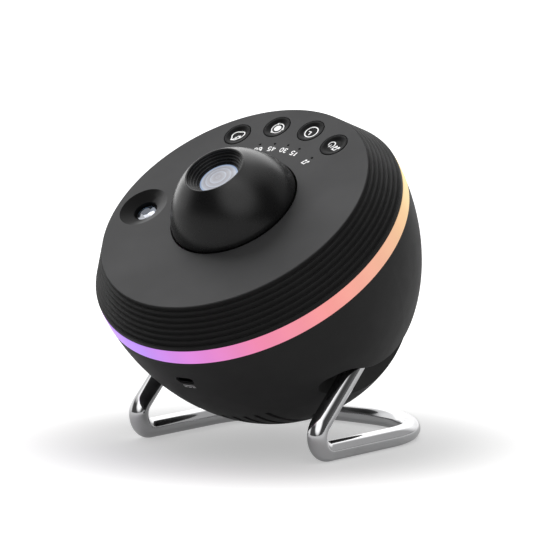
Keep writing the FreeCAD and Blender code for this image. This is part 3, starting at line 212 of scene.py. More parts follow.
def arc_through(first, middle, last, steps):
    """Points of the arc through three points that turns less than half a circle."""
    (ax, ay), (bx, by), (cx, cy) = first, middle, last
    d = 2 * (ax * (by - cy) + bx * (cy - ay) + cx * (ay - by))
    a2, b2, c2 = ax * ax + ay * ay, bx * bx + by * by, cx * cx + cy * cy
    ox = (a2 * (by - cy) + b2 * (cy - ay) + c2 * (ay - by)) / d
    oy = (a2 * (cx - bx) + b2 * (ax - cx) + c2 * (bx - ax)) / d
    start = math.degrees(math.atan2(ay - oy, ax - ox))
    end = math.degrees(math.atan2(cy - oy, cx - ox))
    while end - start > 180:
        end -= 360
    while end - start < -180:
        end += 360
    return arc((ox, oy), math.hypot(ax - ox, ay - oy), start, end, steps)


def rounded(points, radii, steps=4):
    """Outline with its inner corners rounded; a radius of 0 keeps a corner."""
    out = [points[0]]
    for i in range(1, len(points) - 1):
        corner = Vector(points[i])
        before = Vector(points[i - 1]) - corner
        after = Vector(points[i + 1]) - corner
        reach = min(before.length, after.length) * MOST_OF_EDGE
        before.normalize()
        after.normalize()
        angle = before.angle(after)
        if radii[i] <= 0 or angle > NEARLY_STRAIGHT:
            out.append(points[i])
            continue
        cut = min(radii[i] / math.tan(angle / 2), reach)
        radius = cut * math.tan(angle / 2)
        start = corner + before * cut
        end = corner + after * cut
        centre = corner + (before + after).normalized() * (radius / math.sin(angle / 2))
        spoke = start - centre
        turn = spoke.angle_signed(end - centre)
        out.append(tuple(start + before * cut * SUPPORT))
        for k in range(steps + 1):
            t = -turn * k / steps
            out.append((centre.x + spoke.x * math.cos(t) - spoke.y * math.sin(t),
                        centre.y + spoke.x * math.sin(t) + spoke.y * math.cos(t)))
        out.append(tuple(end + after * cut * SUPPORT))
    out.append(points[-1])
    return out


def join_rings(bm, rings):
    """Faces between rings of vertices; a ring of one vertex is a tip."""
    for low, high in zip(rings, rings[1:]):
        count = max(len(low), len(high))
        for i in range(count):
            j = (i + 1) % count
            corners = dict.fromkeys((low[i % len(low)], low[j % len(low)],
                                     high[j % len(high)], high[i % len(high)]))
            if len(corners) > 2:
                bm.faces.new(list(corners))


def lathe(bm, outline, segments, centre=(0.0, 0.0)):
    """Turn an outline of (radius, height) about Z; returns its rings of vertices."""
    rings = []
    for radius, height in outline:
        if radius < ON_AXIS:
            rings.append([bm.verts.new((centre[0], centre[1], height))])
        else:
            rings.append([bm.verts.new((centre[0] + radius * c, centre[1] + radius * s, height))
                          for c, s in circle_points(segments)])
    join_rings(bm, rings)
    return rings


def new_mesh(name, fill, sharp):
    """Mesh filled by a function that takes a bmesh; smooth, with sharp edges over an angle."""
    mesh = bpy.data.meshes.new(name)
    bm = bmesh.new()
    fill(bm)
    bmesh.ops.recalc_face_normals(bm, faces=bm.faces)
    bm.to_mesh(mesh)
    bm.free()
    mesh.polygons.foreach_set("use_smooth", [True] * len(mesh.polygons))
    if sharp:
        mesh.set_sharp_from_angle(angle=math.radians(sharp))
    return mesh


def add_piece(name, fill, sharp, finish, body, stands_for=(), place=HEAD):
    """Make a piece in millimetres, place and finish it and join it to its body.

    Returns its mesh.
    """
    mesh = new_mesh(name, fill, sharp)
    mesh.transform(Matrix.Scale(MM, 4))
    mesh.materials.append(finish_named(finish))
    piece = bpy.data.objects.new(name, mesh)
    bpy.context.scene.collection.objects.link(piece)
    piece.matrix_world = place
    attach(piece, body)
    if stands_for:
        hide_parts(*stands_for)
    return mesh


def in_mm(settings, *names):
    """Length settings in millimetres."""
    return [getattr(settings, name) / MM for name in names]


# ---------------------------------------------------------------- materials
# Most values of a noise texture lie between these two.
NOISE_LOW, NOISE_HIGH = 0.3, 0.7
# Fine grain of moulded plastic: its noise scale and its depth in metres.
FINE_GRAIN, GRAIN_DEPTH = 2500.0, 0.00002
# Lamps inside the light ring, the front lens's radius in millimetres, and how far its faint
# rings turn from its middle to its edge.
RING_LAMPS, LENS_RADIUS, LENS_RING_TURNS = 30, 9.6, 60.0


def node_tree(name):
    """New material with its node tree and its Principled shader."""
    material = bpy.data.materials.new(name)
    material.use_nodes = True
    tree = material.node_tree
    shader = next(node for node in tree.nodes if node.type == "BSDF_PRINCIPLED")
    return material, tree, shader


def feed(tree, node, inputs):
    """Set a node's inputs: a socket is linked, anything else is set as it is."""
    for key, value in inputs.items():
        if isinstance(value, bpy.types.NodeSocket):
            tree.links.new(value, node.inputs[key])
        else:
            node.inputs[key].default_value = value


def coordinates(tree, kind="Object"):
    """Coordinates that a texture is laid by."""
    return tree.nodes.new("ShaderNodeTexCoord").outputs[kind]


def joined(tree, operation, *values):
    """Result of a math operation on values and numbers."""
    node = tree.nodes.new("ShaderNodeMath")
    node.operation = operation
    feed(tree, node, dict(enumerate(values)))
    return node.outputs["Value"]


def measured(tree, operation, *vectors):
    """Value of a vector operation, such as a length or a dot product."""
    node = tree.nodes.new("ShaderNodeVectorMath")
    node.operation = operation
    feed(tree, node, dict(enumerate(vectors)))
    return node.outputs["Value"]


def noise(tree, scale, detail=3.0):
    """Noise texture in object coordinates."""
    node = tree.nodes.new("ShaderNodeTexNoise")
    feed(tree, node, {"Scale": scale, "Detail": detail, "Vector": coordinates(tree)})
    return node.outputs["Fac"]


def ramp(tree, source, stops):
    """Colour ramp over a value; stops are (position, colour)."""
    node = tree.nodes.new("ShaderNodeValToRGB")
    marks = node.color_ramp.elements
    while len(marks) < len(stops):
        marks.new(0.5)
    for mark, (position, colour) in zip(marks, stops):
        mark.position = position
        mark.color = (*colour, 1.0)
    tree.links.new(source, node.inputs["Fac"])
    return node.outputs["Color"]


def spread(tree, source, low, high, new_low, new_high, soft=False):
    """Map a value from one range to another, with soft ends if asked."""
    node = tree.nodes.new("ShaderNodeMapRange")
    if soft:
        node.interpolation_type = "SMOOTHSTEP"
    feed(tree, node, {"From Min": low, "From Max": high, "To Min": new_low,
                      "To Max": new_high, "Value": source})
    return node.outputs["Result"]


def uneven(tree, low, high, scale, detail=3.0):
    """Value that wanders between two values over the surface."""
    return spread(tree, noise(tree, scale, detail), NOISE_LOW, NOISE_HIGH, low, high)


def tone(colour, factor):
    """Colour made lighter or darker."""
    return tuple(min(1.0, channel * factor) for channel in colour)


def cloudy(tree, colour, low, high, scale, detail=3.0):
    """Colour that wanders between two tones over the surface."""
    return ramp(tree, noise(tree, scale, detail),
                [(NOISE_LOW, tone(colour, low)), (NOISE_HIGH, tone(colour, high))])


def dimmed(tree, colours, share):
    """The same colours at a share of their brightness."""
    node = tree.nodes.new("ShaderNodeHueSaturation")
    feed(tree, node, {"Value": share, "Color": colours})
    return node.outputs["Color"]


def bump(tree, height, distance, normal=None):
    """Relief from a height value, on the plain surface or on another normal."""
    node = tree.nodes.new("ShaderNodeBump")
    feed(tree, node, {"Strength": 1.0, "Distance": distance, "Height": height})
    if normal:
        tree.links.new(normal, node.inputs["Normal"])
    return node.outputs["Normal"]


def moulded_plastic(name, colour, roughness, specular, grain=FINE_GRAIN, depth=GRAIN_DEPTH,
                    round_edge=0.0):
    """Moulded plastic with a fine grain, faint cloudiness, uneven gloss and softened edges."""
    material, tree, shader = node_tree(name)
    soft_edges = None
    if round_edge:
        bevel = tree.nodes.new("ShaderNodeBevel")
        bevel.samples = 4
        feed(tree, bevel, {"Radius": round_edge})
        soft_edges = bevel.outputs["Normal"]
    feed(tree, shader, {
        "Base Color": cloudy(tree, colour, 0.92, 1.08, 38.0, 4.0),
        "Roughness": uneven(tree, roughness - 0.03, roughness + 0.03, 120.0),
        "Specular IOR Level": specular,
        "Normal": bump(tree, noise(tree, grain, 2.0), depth, soft_edges),
    })
    return material


def recess_with_painted_shade(name, colour):
    """Recess finish with painted shade: black at the plate's rim to the plate's grey at the dome, in place of the
    shade on its outer wall.
    """
    material, tree, shader = node_tree(name)
    place = tree.nodes.new("ShaderNodeSeparateXYZ")
    feed(tree, place, {"Vector": coordinates(tree)})
    rim_x, dome_x, streaks = -0.0600, -0.0400, 0.08
    # Painted shade: the colour darkens from the dome side out to the rim, standing in for the shade on the
    # recess's outer wall.
    painted_shade_across = spread(tree, place.outputs["X"], rim_x, dome_x, 0.0, 1 - streaks)
    shade = joined(tree, "ADD", painted_shade_across, uneven(tree, 0.0, streaks, 300.0))
    feed(tree, shader, {
        "Base Color": ramp(tree, shade, [(0.0, tone(colour, 0.10)), (0.5, tone(colour, 0.16)),
                                         (0.8, colour)]),
        "Roughness": uneven(tree, 0.52, 0.58, 120.0),
        "Specular IOR Level": 0.05,
        "Normal": bump(tree, noise(tree, FINE_GRAIN, 2.0), GRAIN_DEPTH),
    })
    return material


def polished_metal(name, colour, low, high):
    """Metal with faint polishing marks and uneven gloss."""
    material, tree, shader = node_tree(name)
    feed(tree, shader, {
        "Metallic": 1.0,
        "Base Color": cloudy(tree, colour, 0.97, 1.02, 90.0, 4.0),
        "Roughness": uneven(tree, low, high, 260.0, 5.0),
        "Normal": bump(tree, noise(tree, 1400.0), 0.000004),
    })
    return material


def board_finish(name, colour):
    """Circuit board lacquer with a faint pattern of tracks under it."""
    material, tree, shader = node_tree(name)
    tracks = tree.nodes.new("ShaderNodeTexBrick")
    feed(tree, tracks, {
        "Vector": coordinates(tree), "Scale": 260.0, "Mortar Size": 0.03,
        "Color1": (*colour, 1.0), "Color2": (*tone(colour, 1.25), 1.0),
        "Mortar": (*tone(colour, 0.6), 1.0),
    })
    feed(tree, shader, {
        "Base Color": tracks.outputs["Color"],
        "Roughness": uneven(tree, 0.3, 0.4, 150.0),
        "Normal": bump(tree, tracks.outputs["Fac"], 0.00002),
    })
    return material


def clear_glass(name, tint, roughness=0.02):
    """Clear glass with a faint unevenness."""
    material, tree, shader = node_tree(name)
    feed(tree, shader, {
        "Base Color": cloudy(tree, tint, 0.98, 1.0, 60.0),
        "Roughness": uneven(tree, roughness, roughness + 0.03, 200.0),
        "Transmission Weight": 1.0,
        "IOR": 1.49,
        "Normal": bump(tree, noise(tree, 300.0, 2.0), 0.000005),
    })
    return material


def glass_with_painted_reflections(name):
    """Cut glass whose facets carry painted reflections: white, pale grey or blue by the way they face."""
    material, tree, shader = node_tree(name)
    # Painted reflection: facets facing front right, towards the camera, are coloured white, the others grey, blue
    # or deep blue.
    front_right = (0.6, -0.8, 0.0)
    facing = measured(tree, "DOT_PRODUCT", coordinates(tree, "Normal"), front_right)
    grey, white = (0.10, 0.11, 0.13), (0.90, 0.93, 1.0)
    blue, deep = (0.25, 0.50, 0.85), (0.01, 0.03, 0.08)
    stops = [(0.0, deep), (0.2, blue), (0.35, grey), (0.52, grey), (0.62, white),
             (0.88, white), (1.0, blue)]
    feed(tree, shader, {
        "Metallic": 0.85,
        "Base Color": ramp(tree, spread(tree, facing, -0.8, 0.8, 0.0, 1.0), stops),
        "Roughness": uneven(tree, 0.03, 0.07, 200.0),
        "Normal": bump(tree, noise(tree, 300.0, 2.0), 0.000005),
    })
    return material


def lit_ring(name, glow):
    """Milky ring lit by lamps inside it, its colour drifting round the ring."""
    material, tree, shader = node_tree(name)
    around = tree.nodes.new("ShaderNodeTexGradient")
    around.gradient_type = "RADIAL"
    feed(tree, around, {"Vector": coordinates(tree)})
    turn = around.outputs["Fac"]
    lilac, orchid, pink = (0.56, 0.30, 1.0), (0.80, 0.27, 0.80), (0.93, 0.27, 0.46)
    salmon, peach, yellow = (0.99, 0.36, 0.34), (0.93, 0.52, 0.33), (0.97, 0.76, 0.33)
    stops = [(0.0, peach), (0.06, pink), (0.11, orchid), (0.16, lilac), (0.215, lilac),
             (0.275, orchid), (0.345, pink), (0.42, salmon), (0.51, peach), (0.61, yellow),
             (0.74, yellow), (0.88, peach), (1.0, peach)]
    colours = ramp(tree, turn, stops)
    lamps = joined(tree, "SINE", joined(tree, "MULTIPLY", turn, RING_LAMPS * 2 * math.pi))
    feed(tree, shader, {
        "Base Color": dimmed(tree, colours, 0.2),
        "Roughness": 0.35,
        "Specular IOR Level": 0.2,
        "Emission Color": colours,
        "Emission Strength": spread(tree, lamps, -1, 1, glow * 0.985, glow * 1.015),
        "Normal": bump(tree, noise(tree, 900.0), 0.00001),
    })
    return material


def lit_lens(name, glow):
    """Front lens lit from behind, with faint rings and a blue edge."""
    material, tree, shader = node_tree(name)
    flat = tree.nodes.new("ShaderNodeMapping")
    feed(tree, flat, {"Vector": coordinates(tree), "Scale": (1.0, 1.0, 0.0)})
    reach = measured(tree, "LENGTH", flat.outputs["Vector"])
    share = spread(tree, reach, 0.0, LENS_RADIUS * MM, 0.0, 1.0)
    white, cool = (0.69, 0.71, 0.79), (0.80, 0.87, 1.0)
    warm, edge = (0.58, 0.57, 0.63), (0.44, 0.62, 0.98)
    stops = [(0.0, warm), (0.10, white), (0.16, warm), (0.34, white), (0.40, cool),
             (0.44, warm), (0.58, white), (0.64, cool), (0.68, warm), (0.86, cool),
             (0.95, edge), (1.0, edge)]
    colours = ramp(tree, share, stops)
    rings = joined(tree, "SINE", joined(tree, "MULTIPLY", share, LENS_RING_TURNS))
    feed(tree, shader, {
        "Base Color": dimmed(tree, colours, 0.1),
        "Roughness": 0.12,
        "Emission Color": colours,
        "Emission Strength": uneven(tree, glow * 0.94, glow * 1.06, 180.0),
        "Normal": bump(tree, rings, 0.00003),
    })
    return material


# Finishes of the inner parts: colour, roughness and specular level of the mouldings, and
# colour, least and most roughness of the metals.
INNER_MOULDINGS = {
    "part_black": ("Plain black moulding", (0.02, 0.02, 0.02), 0.5, 0.4),
    "frame_grey": ("Plain grey moulding", (0.25, 0.25, 0.26), 0.5, 0.5),
    "gear_white": ("White gear plastic", (0.78, 0.78, 0.74), 0.45, 0.5),
    "lamp_white": ("White lamp body", (0.8, 0.8, 0.76), 0.4, 0.5),
    "guide_smoke": ("Smoked light guide", (0.003, 0.003, 0.003), 0.6, 0.05),
    "speaker_frame": ("Speaker paint", (0.06, 0.06, 0.065), 0.4, 0.5),
    "speaker_paper": ("Speaker paper", (0.03, 0.03, 0.03), 0.8, 0.2, 900.0, 0.00008),
}
INNER_METALS = {
    "steel": ("Zinc plated steel", (0.55, 0.55, 0.57), 0.25, 0.4),
    "dark_nickel": ("Black nickel", (0.035, 0.035, 0.037), 0.3, 0.4),
    "bush_brass": ("Turned brass", (0.72, 0.52, 0.24), 0.2, 0.3),
    "heatsink_aluminium": ("Plain aluminium", (0.7, 0.71, 0.73), 0.3, 0.45),
}
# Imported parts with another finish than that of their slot.
SPECIAL_FINISHES = {"indicator_guides": "guide_smoke", "power_socket": "dark_nickel"}
# The skirt's faces, part of the grey top cover moulding, get a black at this share of the housing's: painted shade
# on the steps.
SKIRT_PAINTED_SHADE = 0.42
# Names of the materials that the finishes operator made, by finish.
FINISHES = {}


def finish_named(name):
    """Material made by the finishes operator."""
    return bpy.data.materials[FINISHES[name]]


class PROJECTOR_OT_finishes(bpy.types.Operator):
    """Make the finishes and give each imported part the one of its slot"""

    bl_idname = "projector.finishes"
    bl_label = "Finishes"

    def execute(self, context):
        chosen = context.scene.projector_finishes
        plate, shell, dome, button, rod, marks = (
            tuple(getattr(chosen, key))
            for key in ("plate", "shell", "dome", "button", "rod", "marks"))
        made = {
            "plate_grey": moulded_plastic("Plate matte grey", plate, 0.65, 0.03),
            "shell_black": moulded_plastic("Housing satin black", shell, 0.5, 0.12,
                                           round_edge=0.0003),
            # Painted shade: a dark copy for the skirt's steps, which belong to the one grey top cover moulding.
            "skirt_black": moulded_plastic("Skirt black with painted shade", tone(shell, SKIRT_PAINTED_SHADE), 0.5,
                                           0.15),
            "dome_black": moulded_plastic("Dome satin black", dome, 0.27, 0.33, depth=0.00001),
            "button_black": moulded_plastic("Button satin black", button, 0.45, 0.06),
            "print_white": moulded_plastic("White print", marks, 0.5, 0.3),
            "chrome": polished_metal("Rod chrome", rod, 0.05, 0.09),
            "board_green": board_finish("Board green lacquer", (0.02, 0.13, 0.06)),
            "clear_glass": clear_glass("Clear glass", (0.93, 0.96, 1.0)),
            # The laser recess's finish paints shade: black at the rim, the plate's grey at the dome.
            "recess_black": recess_with_painted_shade("Recess grey with painted shade", plate),
            # The laser window's facets carry painted reflections.
            "cut_glass": glass_with_painted_reflections("Cut glass with painted reflections"),
            "disc_glass": clear_glass("Rippled disc glass", (0.85, 0.92, 1.0), 0.1),
            "milky_diffuser": lit_ring("Lit light ring", chosen.ring_glow),
            "lit_lens": lit_lens("Lit front lens", chosen.lens_glow),
        }
        made.update({key: moulded_plastic(*row) for key, row in INNER_MOULDINGS.items()})
        made.update({key: polished_metal(*row) for key, row in INNER_METALS.items()})
        FINISHES.update({key: material.name for key, material in made.items()})
        slots = {part["node"]: part["material_slot"] for part in frame["record"]["subparts"]}
        for node, part in frame["nodes"].items():
            finish = SPECIAL_FINISHES.get(node, slots[node])
            part.data.materials.clear()
            part.data.materials.append(made[finish])
        return {"FINISHED"}


# -------------------------------------------------------------------- pieces
# From here on, bare lengths are in millimetres and heights are above the seam or the plate.
# Places round the projection axis are in degrees.
BUTTONS = {"nebula": 120.1, "brightness": 98.3, "timer": 76.5, "power": 55.2}
INDICATORS = (103.8, 92.8, 82.0, 71.3, 55.4)
LASER = tuple((HEAD.inverted() @ Vector(JOINTS["grating_spin"]["pos_m"]) / MM).xy)

PLATE_THICKNESS = 2.4
SKIRT_WALL = 2.0
# Flat rim of the plate between the last step and the filled middle.
PLATE_RIM = 1.5
FOOT_ROUNDING = 0.15
# Roundings of the steps and the wells, as shares of the moulded edges' radius.
STEP_NOSE, STEP_CORNER, WELL_EDGE = 1.3, 0.6, 0.8
# Flat round a well that its mesh holds, in roundings of its edge.
WELL_FLAT = 2.2
BUTTON_WELL_DEPTH = 4.3
GUIDE_HOLE_RADIUS, GUIDE_HOLE_EDGE = 0.65, 0.08
# The laser recess: the flat that its mesh holds outside its rim, its floor's radius and the
# roundings at its rim and floor.
RECESS_FLAT, RECESS_FLOOR_RADIUS, RECESS_RIM, RECESS_FOOT = 1.0, 5.75, 1.2, 0.2
WINDOW_SEAT, WINDOW_HOLE_RADIUS, WINDOW_HOLE_DEPTH = 13.2, 4.5, 1.0
# Faces of the last riser are this far below the plate and this near its edge.
RISER_DROP, RISER_REACH = 0.35, 1.0
# Margins that part the faces of the plate, the skirt and the recess.
EDGE_MARGIN, LEVEL_MARGIN, RECESS_MARGIN = 0.05, 0.01, 0.6


class PROJECTOR_OT_top_cover(bpy.types.Operator):
    """Control plate and stepped skirt with rounded edges, wells and laser recess"""

    bl_idname = "projector.top_cover"
    bl_label = "Top cover"

    def execute(self, context):
        head = context.scene.projector_head
        plate, height, skirt, round_edge = in_mm(head, "plate_radius", "plate_height",
                                                 "skirt_radius", "edge_rounding")
        dome, gap, cone, cone_depth = in_mm(head, "dome_base", "dome_gap", "cone_radius",
                                            "cone_depth")
        well, circle, lamp_circle = in_mm(context.scene.projector_buttons, "well_radius",
                                          "circle", "indicator_circle")
        steps = head.step_count
        riser = height / steps
        tread = (skirt - plate) / (steps - 1)

        def well_outline(radius, depth, edge, floored=False):
            points = [(radius + WELL_FLAT * edge, height), (radius, height),
                      (radius, height - depth)]
            if floored:
                points.append((0.0, height - depth))
            return rounded(points, [0.0, edge, 0.0, 0.0])

        def fill(bm):
            outside, radii = [(skirt - SKIRT_WALL, 0.0), (skirt, 0.0)], [0.0, FOOT_ROUNDING]
            for step in range(steps):
                radius, level = skirt - step * tread, (step + 1) * riser
                outside += [(radius, level), (radius - tread, level)]
                radii += [round_edge * STEP_NOSE, round_edge * STEP_CORNER]
            outside[-1], radii[-1] = (plate - PLATE_RIM, height), 0.0
            loops = [lathe(bm, rounded(outside, radii), 256)[-1]]

            def hole(place, outline, segments):
                loops.append(lathe(bm, outline, segments, place)[0])

            hole((0.0, 0.0), well_outline(dome + gap, PLATE_THICKNESS, round_edge), 192)
            for angle in BUTTONS.values():
                hole(on_circle(circle, angle),
                     well_outline(well, BUTTON_WELL_DEPTH, round_edge * WELL_EDGE, True), 64)
            for angle in INDICATORS:
                hole(on_circle(lamp_circle, angle),
                     well_outline(GUIDE_HOLE_RADIUS, PLATE_THICKNESS, GUIDE_HOLE_EDGE), 20)
            slope = [(cone + RECESS_FLAT, height), (cone, height),
                     (RECESS_FLOOR_RADIUS, height - cone_depth),
                     (RECESS_FLOOR_RADIUS, WINDOW_SEAT), (WINDOW_HOLE_RADIUS, WINDOW_SEAT),
                     (WINDOW_HOLE_RADIUS, WINDOW_SEAT - WINDOW_HOLE_DEPTH)]
            hole(LASER, rounded(slope, [0.0, RECESS_RIM, RECESS_FOOT, 0.0, 0.0, 0.0], 8), 96)
            edges = [bm.edges.get(pair) for loop in loops
                     for pair in zip(loop, loop[1:] + loop[:1])]
            bmesh.ops.triangle_fill(bm, use_beauty=True, use_dissolve=False, edges=edges,
                                    normal=(0, 0, 1))

        mesh = add_piece("top_cover_skin", fill, 50, "plate_grey", "head", ["top_cover"])
        mesh.materials.append(finish_named("skirt_black"))
        mesh.materials.append(finish_named("recess_black"))
        recess = Vector(LASER) * MM
        for face in mesh.polygons:
            x, y, z = face.center
            reach, drop = math.hypot(x, y), height - z / MM
            from_recess = (face.center.xy - recess).length
            # Skirt faces take the dark finish that paints their shade.
            if reach > (plate + EDGE_MARGIN) * MM or (
                    drop > RISER_DROP and reach > (plate - RISER_REACH) * MM):
                face.material_index = 1
            # Faces in the laser recess get the finish with painted shade.
            elif drop > LEVEL_MARGIN and from_recess < (cone + RECESS_MARGIN) * MM:
                face.material_index = 2
        return {"FINISHED"}


RING_WALL, RING_EDGE = 3.5, 0.25


class PROJECTOR_OT_light_ring(bpy.types.Operator):
    """Milky light ring with softly rounded edges"""

    bl_idname = "projector.light_ring"
    bl_label = "Light ring"

    def execute(self, context):
        radius, height = in_mm(context.scene.projector_head, "ring_radius", "ring_height")

        def fill(bm):
            inside = radius - RING_WALL
            outline = rounded([(inside, -height), (radius, -height), (radius, 0.0),
                               (inside, 0.0)], [0.0, RING_EDGE, RING_EDGE, 0.0])
            lathe(bm, outline + outline[:1], 256)
            bmesh.ops.remove_doubles(bm, verts=bm.verts, dist=0.0001)

        add_piece("light_ring_band", fill, 50, "milky_diffuser", "head", ["light_ring"])
        return {"FINISHED"}


# The dome's shoulder and lip as radius and height above the plate, the points of its foot
# from its base, and the middle of its rolled lip from the lip.
DOME_SHOULDER, DOME_LIP = (26.5, 9.8), (14.6, 22.2)
DOME_FOOT = ((-0.7, -PLATE_THICKNESS), (-0.7, 0.05), (-0.25, 0.35))
LIP_MIDDLE, LIP_ROUNDING = (-0.55, -0.33), 0.64
DOME_BORE, BORE_FOOT = 13.5, 14.2
# The stepped baffle: its top below the lip, its foot above the plate, its steps and radii.
BAFFLE_DROP, LENS_OPENING, BAFFLE_STEPS, BAFFLE_RIM = 0.8, 17.2, 4, 13.05
LENS_HOLE_RADIUS, LENS_SEAT_RADIUS, LENS_LEDGE = 9.24, 9.62, 0.2


class PROJECTOR_OT_dome(bpy.types.Operator):
    """Domed cap, its rolled lip and the stepped baffle inside it"""

    bl_idname = "projector.dome"
    bl_label = "Dome and baffle"

    def execute(self, context):
        height, base = in_mm(context.scene.projector_head, "plate_height", "dome_base")
        lip_radius, lip = DOME_LIP[0], height + DOME_LIP[1]
        top = lip - BAFFLE_DROP

        def dome_fill(bm):
            shoulder = (DOME_SHOULDER[0], height + DOME_SHOULDER[1])
            curve = arc_through((base, height), shoulder, (lip_radius, lip), 48)
            slope = math.degrees(math.atan2(curve[-1][1] - curve[-2][1],
                                            curve[-1][0] - curve[-2][0]))
            crown = arc((lip_radius + LIP_MIDDLE[0], lip + LIP_MIDDLE[1]), LIP_ROUNDING,
                        slope - 90.0, 180.0, 8)
            foot = [(base + out, height + up) for out, up in DOME_FOOT]
            bore = [(DOME_BORE, top), (DOME_BORE, height + BORE_FOOT)]
            lathe(bm, foot + curve[3:] + crown + bore, 192)

        def baffle_fill(bm):
            opening = height + LENS_OPENING
            drop = (top - opening) / BAFFLE_STEPS
            width = (BAFFLE_RIM - LENS_HOLE_RADIUS) / BAFFLE_STEPS
            points = [(DOME_BORE - 0.01, top - 1.0), (DOME_BORE - 0.01, top),
                      (BAFFLE_RIM, top)]
            radii = [0.0, 0.06, 0.12]
            radius, level = BAFFLE_RIM, top
            for _ in range(BAFFLE_STEPS):
                level -= drop
                points.append((radius, level))
                radius -= width
                points.append((radius, level))
                radii += [0.1, 0.22]
            points += [(LENS_HOLE_RADIUS, opening - LENS_LEDGE),
                       (LENS_SEAT_RADIUS, opening - LENS_LEDGE),
                       (LENS_SEAT_RADIUS, height + BORE_FOOT)]
            lathe(bm, rounded(points, radii + [0.0, 0.0, 0.0]), 144)

        add_piece("dome_cap", dome_fill, 40, "dome_black", "head", ["projector_dome"])
        add_piece("aperture_baffle", baffle_fill, 45, "dome_black", "head", ["lens_baffle"])
        return {"FINISHED"}


# The front lens: its rim above the plate, its thickness at the rim, and three points of its
# front as radius and height above the rim.
LENS_RIM, LENS_THICKNESS = 17.0, 1.8
LENS_FRONT = ((9.58, -0.1), (5.0, 0.72), (0.0, 1.0))
WINDOW_FACETS = 8
# Rows of the cut window: radius, height above its seat and turn by a share of a facet.
WINDOW_ROWS = ((0.0, 0.0, 0.0), (5.0, 0.0, 0.0), (5.0, 0.5, 0.0), (3.9, 1.0, 0.5),
               (2.4, 1.5, 0.0), (0.0, 1.5, 0.0))


class PROJECTOR_OT_lenses(bpy.types.Operator):
    """Front lens and the cut glass window of the laser"""

    bl_idname = "projector.lenses"
    bl_label = "Lens and laser window"

    def execute(self, context):
        height, = in_mm(context.scene.projector_head, "plate_height")
        rim = height + LENS_RIM

        def lens_fill(bm):
            front = arc_through(*((radius, rim + up) for radius, up in LENS_FRONT), 24)
            back = rim - LENS_THICKNESS
            lathe(bm, [(0.0, back), (LENS_RADIUS, back)] + front, 96)

        def window_fill(bm):
            rings = []
            for radius, rise, shift in WINDOW_ROWS:
                level = WINDOW_SEAT + rise
                if radius < ON_AXIS:
                    rings.append([bm.verts.new((*LASER, level))])
                    continue
                turns = [2 * math.pi * (i + shift) / WINDOW_FACETS
                         for i in range(WINDOW_FACETS)]
                rings.append([bm.verts.new((LASER[0] + radius * math.cos(turn),
                                            LASER[1] + radius * math.sin(turn), level))
                              for turn in turns])
            for low, high in zip(rings, rings[1:]):
                for i in range(WINDOW_FACETS):
                    j = (i + 1) % WINDOW_FACETS
                    corners = list(dict.fromkeys([low[i % len(low)], low[j % len(low)],
                                                  high[j % len(high)], high[i % len(high)]]))
                    bmesh.ops.contextual_create(bm, geom=corners)

        add_piece("front_lens_glass", lens_fill, 40, "lit_lens", "head", ["front_lens"])
        add_piece("laser_window_glass", window_fill, 5, "cut_glass", "head",
                  ["laser_window"])
        return {"FINISHED"}


# ------------------------------------------------------------- printed marks
def stroke(bm, points, width, lift, closed=False):
    """Flat ribbon along points, its height given by lift(x, y)."""
    count = len(points)
    rows = []
    for i, (x, y) in enumerate(points):
        before = Vector(points[i - 1]) if i or closed else Vector((x, y))
        after = Vector(points[(i + 1) % count]) if i < count - 1 or closed else Vector((x, y))
        along = (after - before).normalized()
        side = Vector((-along.y, along.x))
        stretch = 1.0
        if 0 < i < count - 1 or closed:
            first = (Vector((x, y)) - before).normalized()
            stretch = 1 / max(0.5, abs(first.x * along.x + first.y * along.y))
        rows.append([bm.verts.new((x + side.x * s * width * stretch / 2,
                                   y + side.y * s * width * stretch / 2,
                                   lift(x + side.x * s * width / 2, y + side.y * s * width / 2)))
                     for s in (-1, 0, 1)])
    if closed:
        rows.append(rows[0])
    for a, b in zip(rows, rows[1:]):
        for k in (0, 1):
            bm.faces.new((a[k], b[k], b[k + 1], a[k + 1]))


def disc(bm, place, radius, lift, rings=4, segments=32):
    """Flat disc made of rings, so that it follows a hollow."""
    x, y = place
    last = [bm.verts.new((x, y, lift(x, y)))] * segments
    for k in range(1, rings + 1):
        reach = radius * k / rings
        ring = [bm.verts.new((x + reach * c, y + reach * s, lift(x + reach * c, y + reach * s)))
                for c, s in circle_points(segments)]
        for i in range(segments):
            j = (i + 1) % segments
            bm.faces.new(list(dict.fromkeys((last[i], ring[i], ring[j], last[j]))))
        last = ring


def dot(bm, place, radius, lift):
    """Small disc."""
    disc(bm, place, radius, lift, 2, 16)


def placed(points, place):
    """Points of a mark at its place."""
    return [place(x, y) for x, y in points]


def cloud_mark(bm, place, lift):
    """Nebula mark: a cloud outline with a long swirl in it."""
    outline = arc((0.9, -0.7), 2.7, 15, -120, 16) + arc((-2.0, -0.3), 1.8, -100, -235, 14)
    outline += [(-1.6, 2.3), (0.2, 2.5), (2.0, 2.6), (4.1, 1.6)]
    stroke(bm, placed(outline, place), 0.6, lift, True)
    stroke(bm, placed(arc((3.4, -4.6), 6.1, 83, 128, 12), place), 0.55, lift)
    dot(bm, place(1.3, 1.3), 0.65, lift)
    dot(bm, place(-0.9, 1.2), 0.65, lift)


def sun_mark(bm, place, lift):
    """Brightness mark: a filled disc in a broken ring with three dots on it."""
    disc(bm, place(0.0, 0.0), 1.85, lift)
    for start in (-75, 45, 165):
        dot(bm, place(*on_circle(3.55, start)), 0.62, lift)
        ring = arc((0, 0), 3.45, start, start + 104, 22)
        stroke(bm, placed(ring, place), 0.52, lift)


def clock_mark(bm, place, lift):
    """Timer mark: a clock face with two hands."""
    stroke(bm, placed(arc((0, 0), 3.75, 0, 351, 44), place), 0.62, lift, True)
    stroke(bm, placed([(0.0, 2.4), (0.0, 0.0), (1.95, 0.0)], place), 0.6, lift)


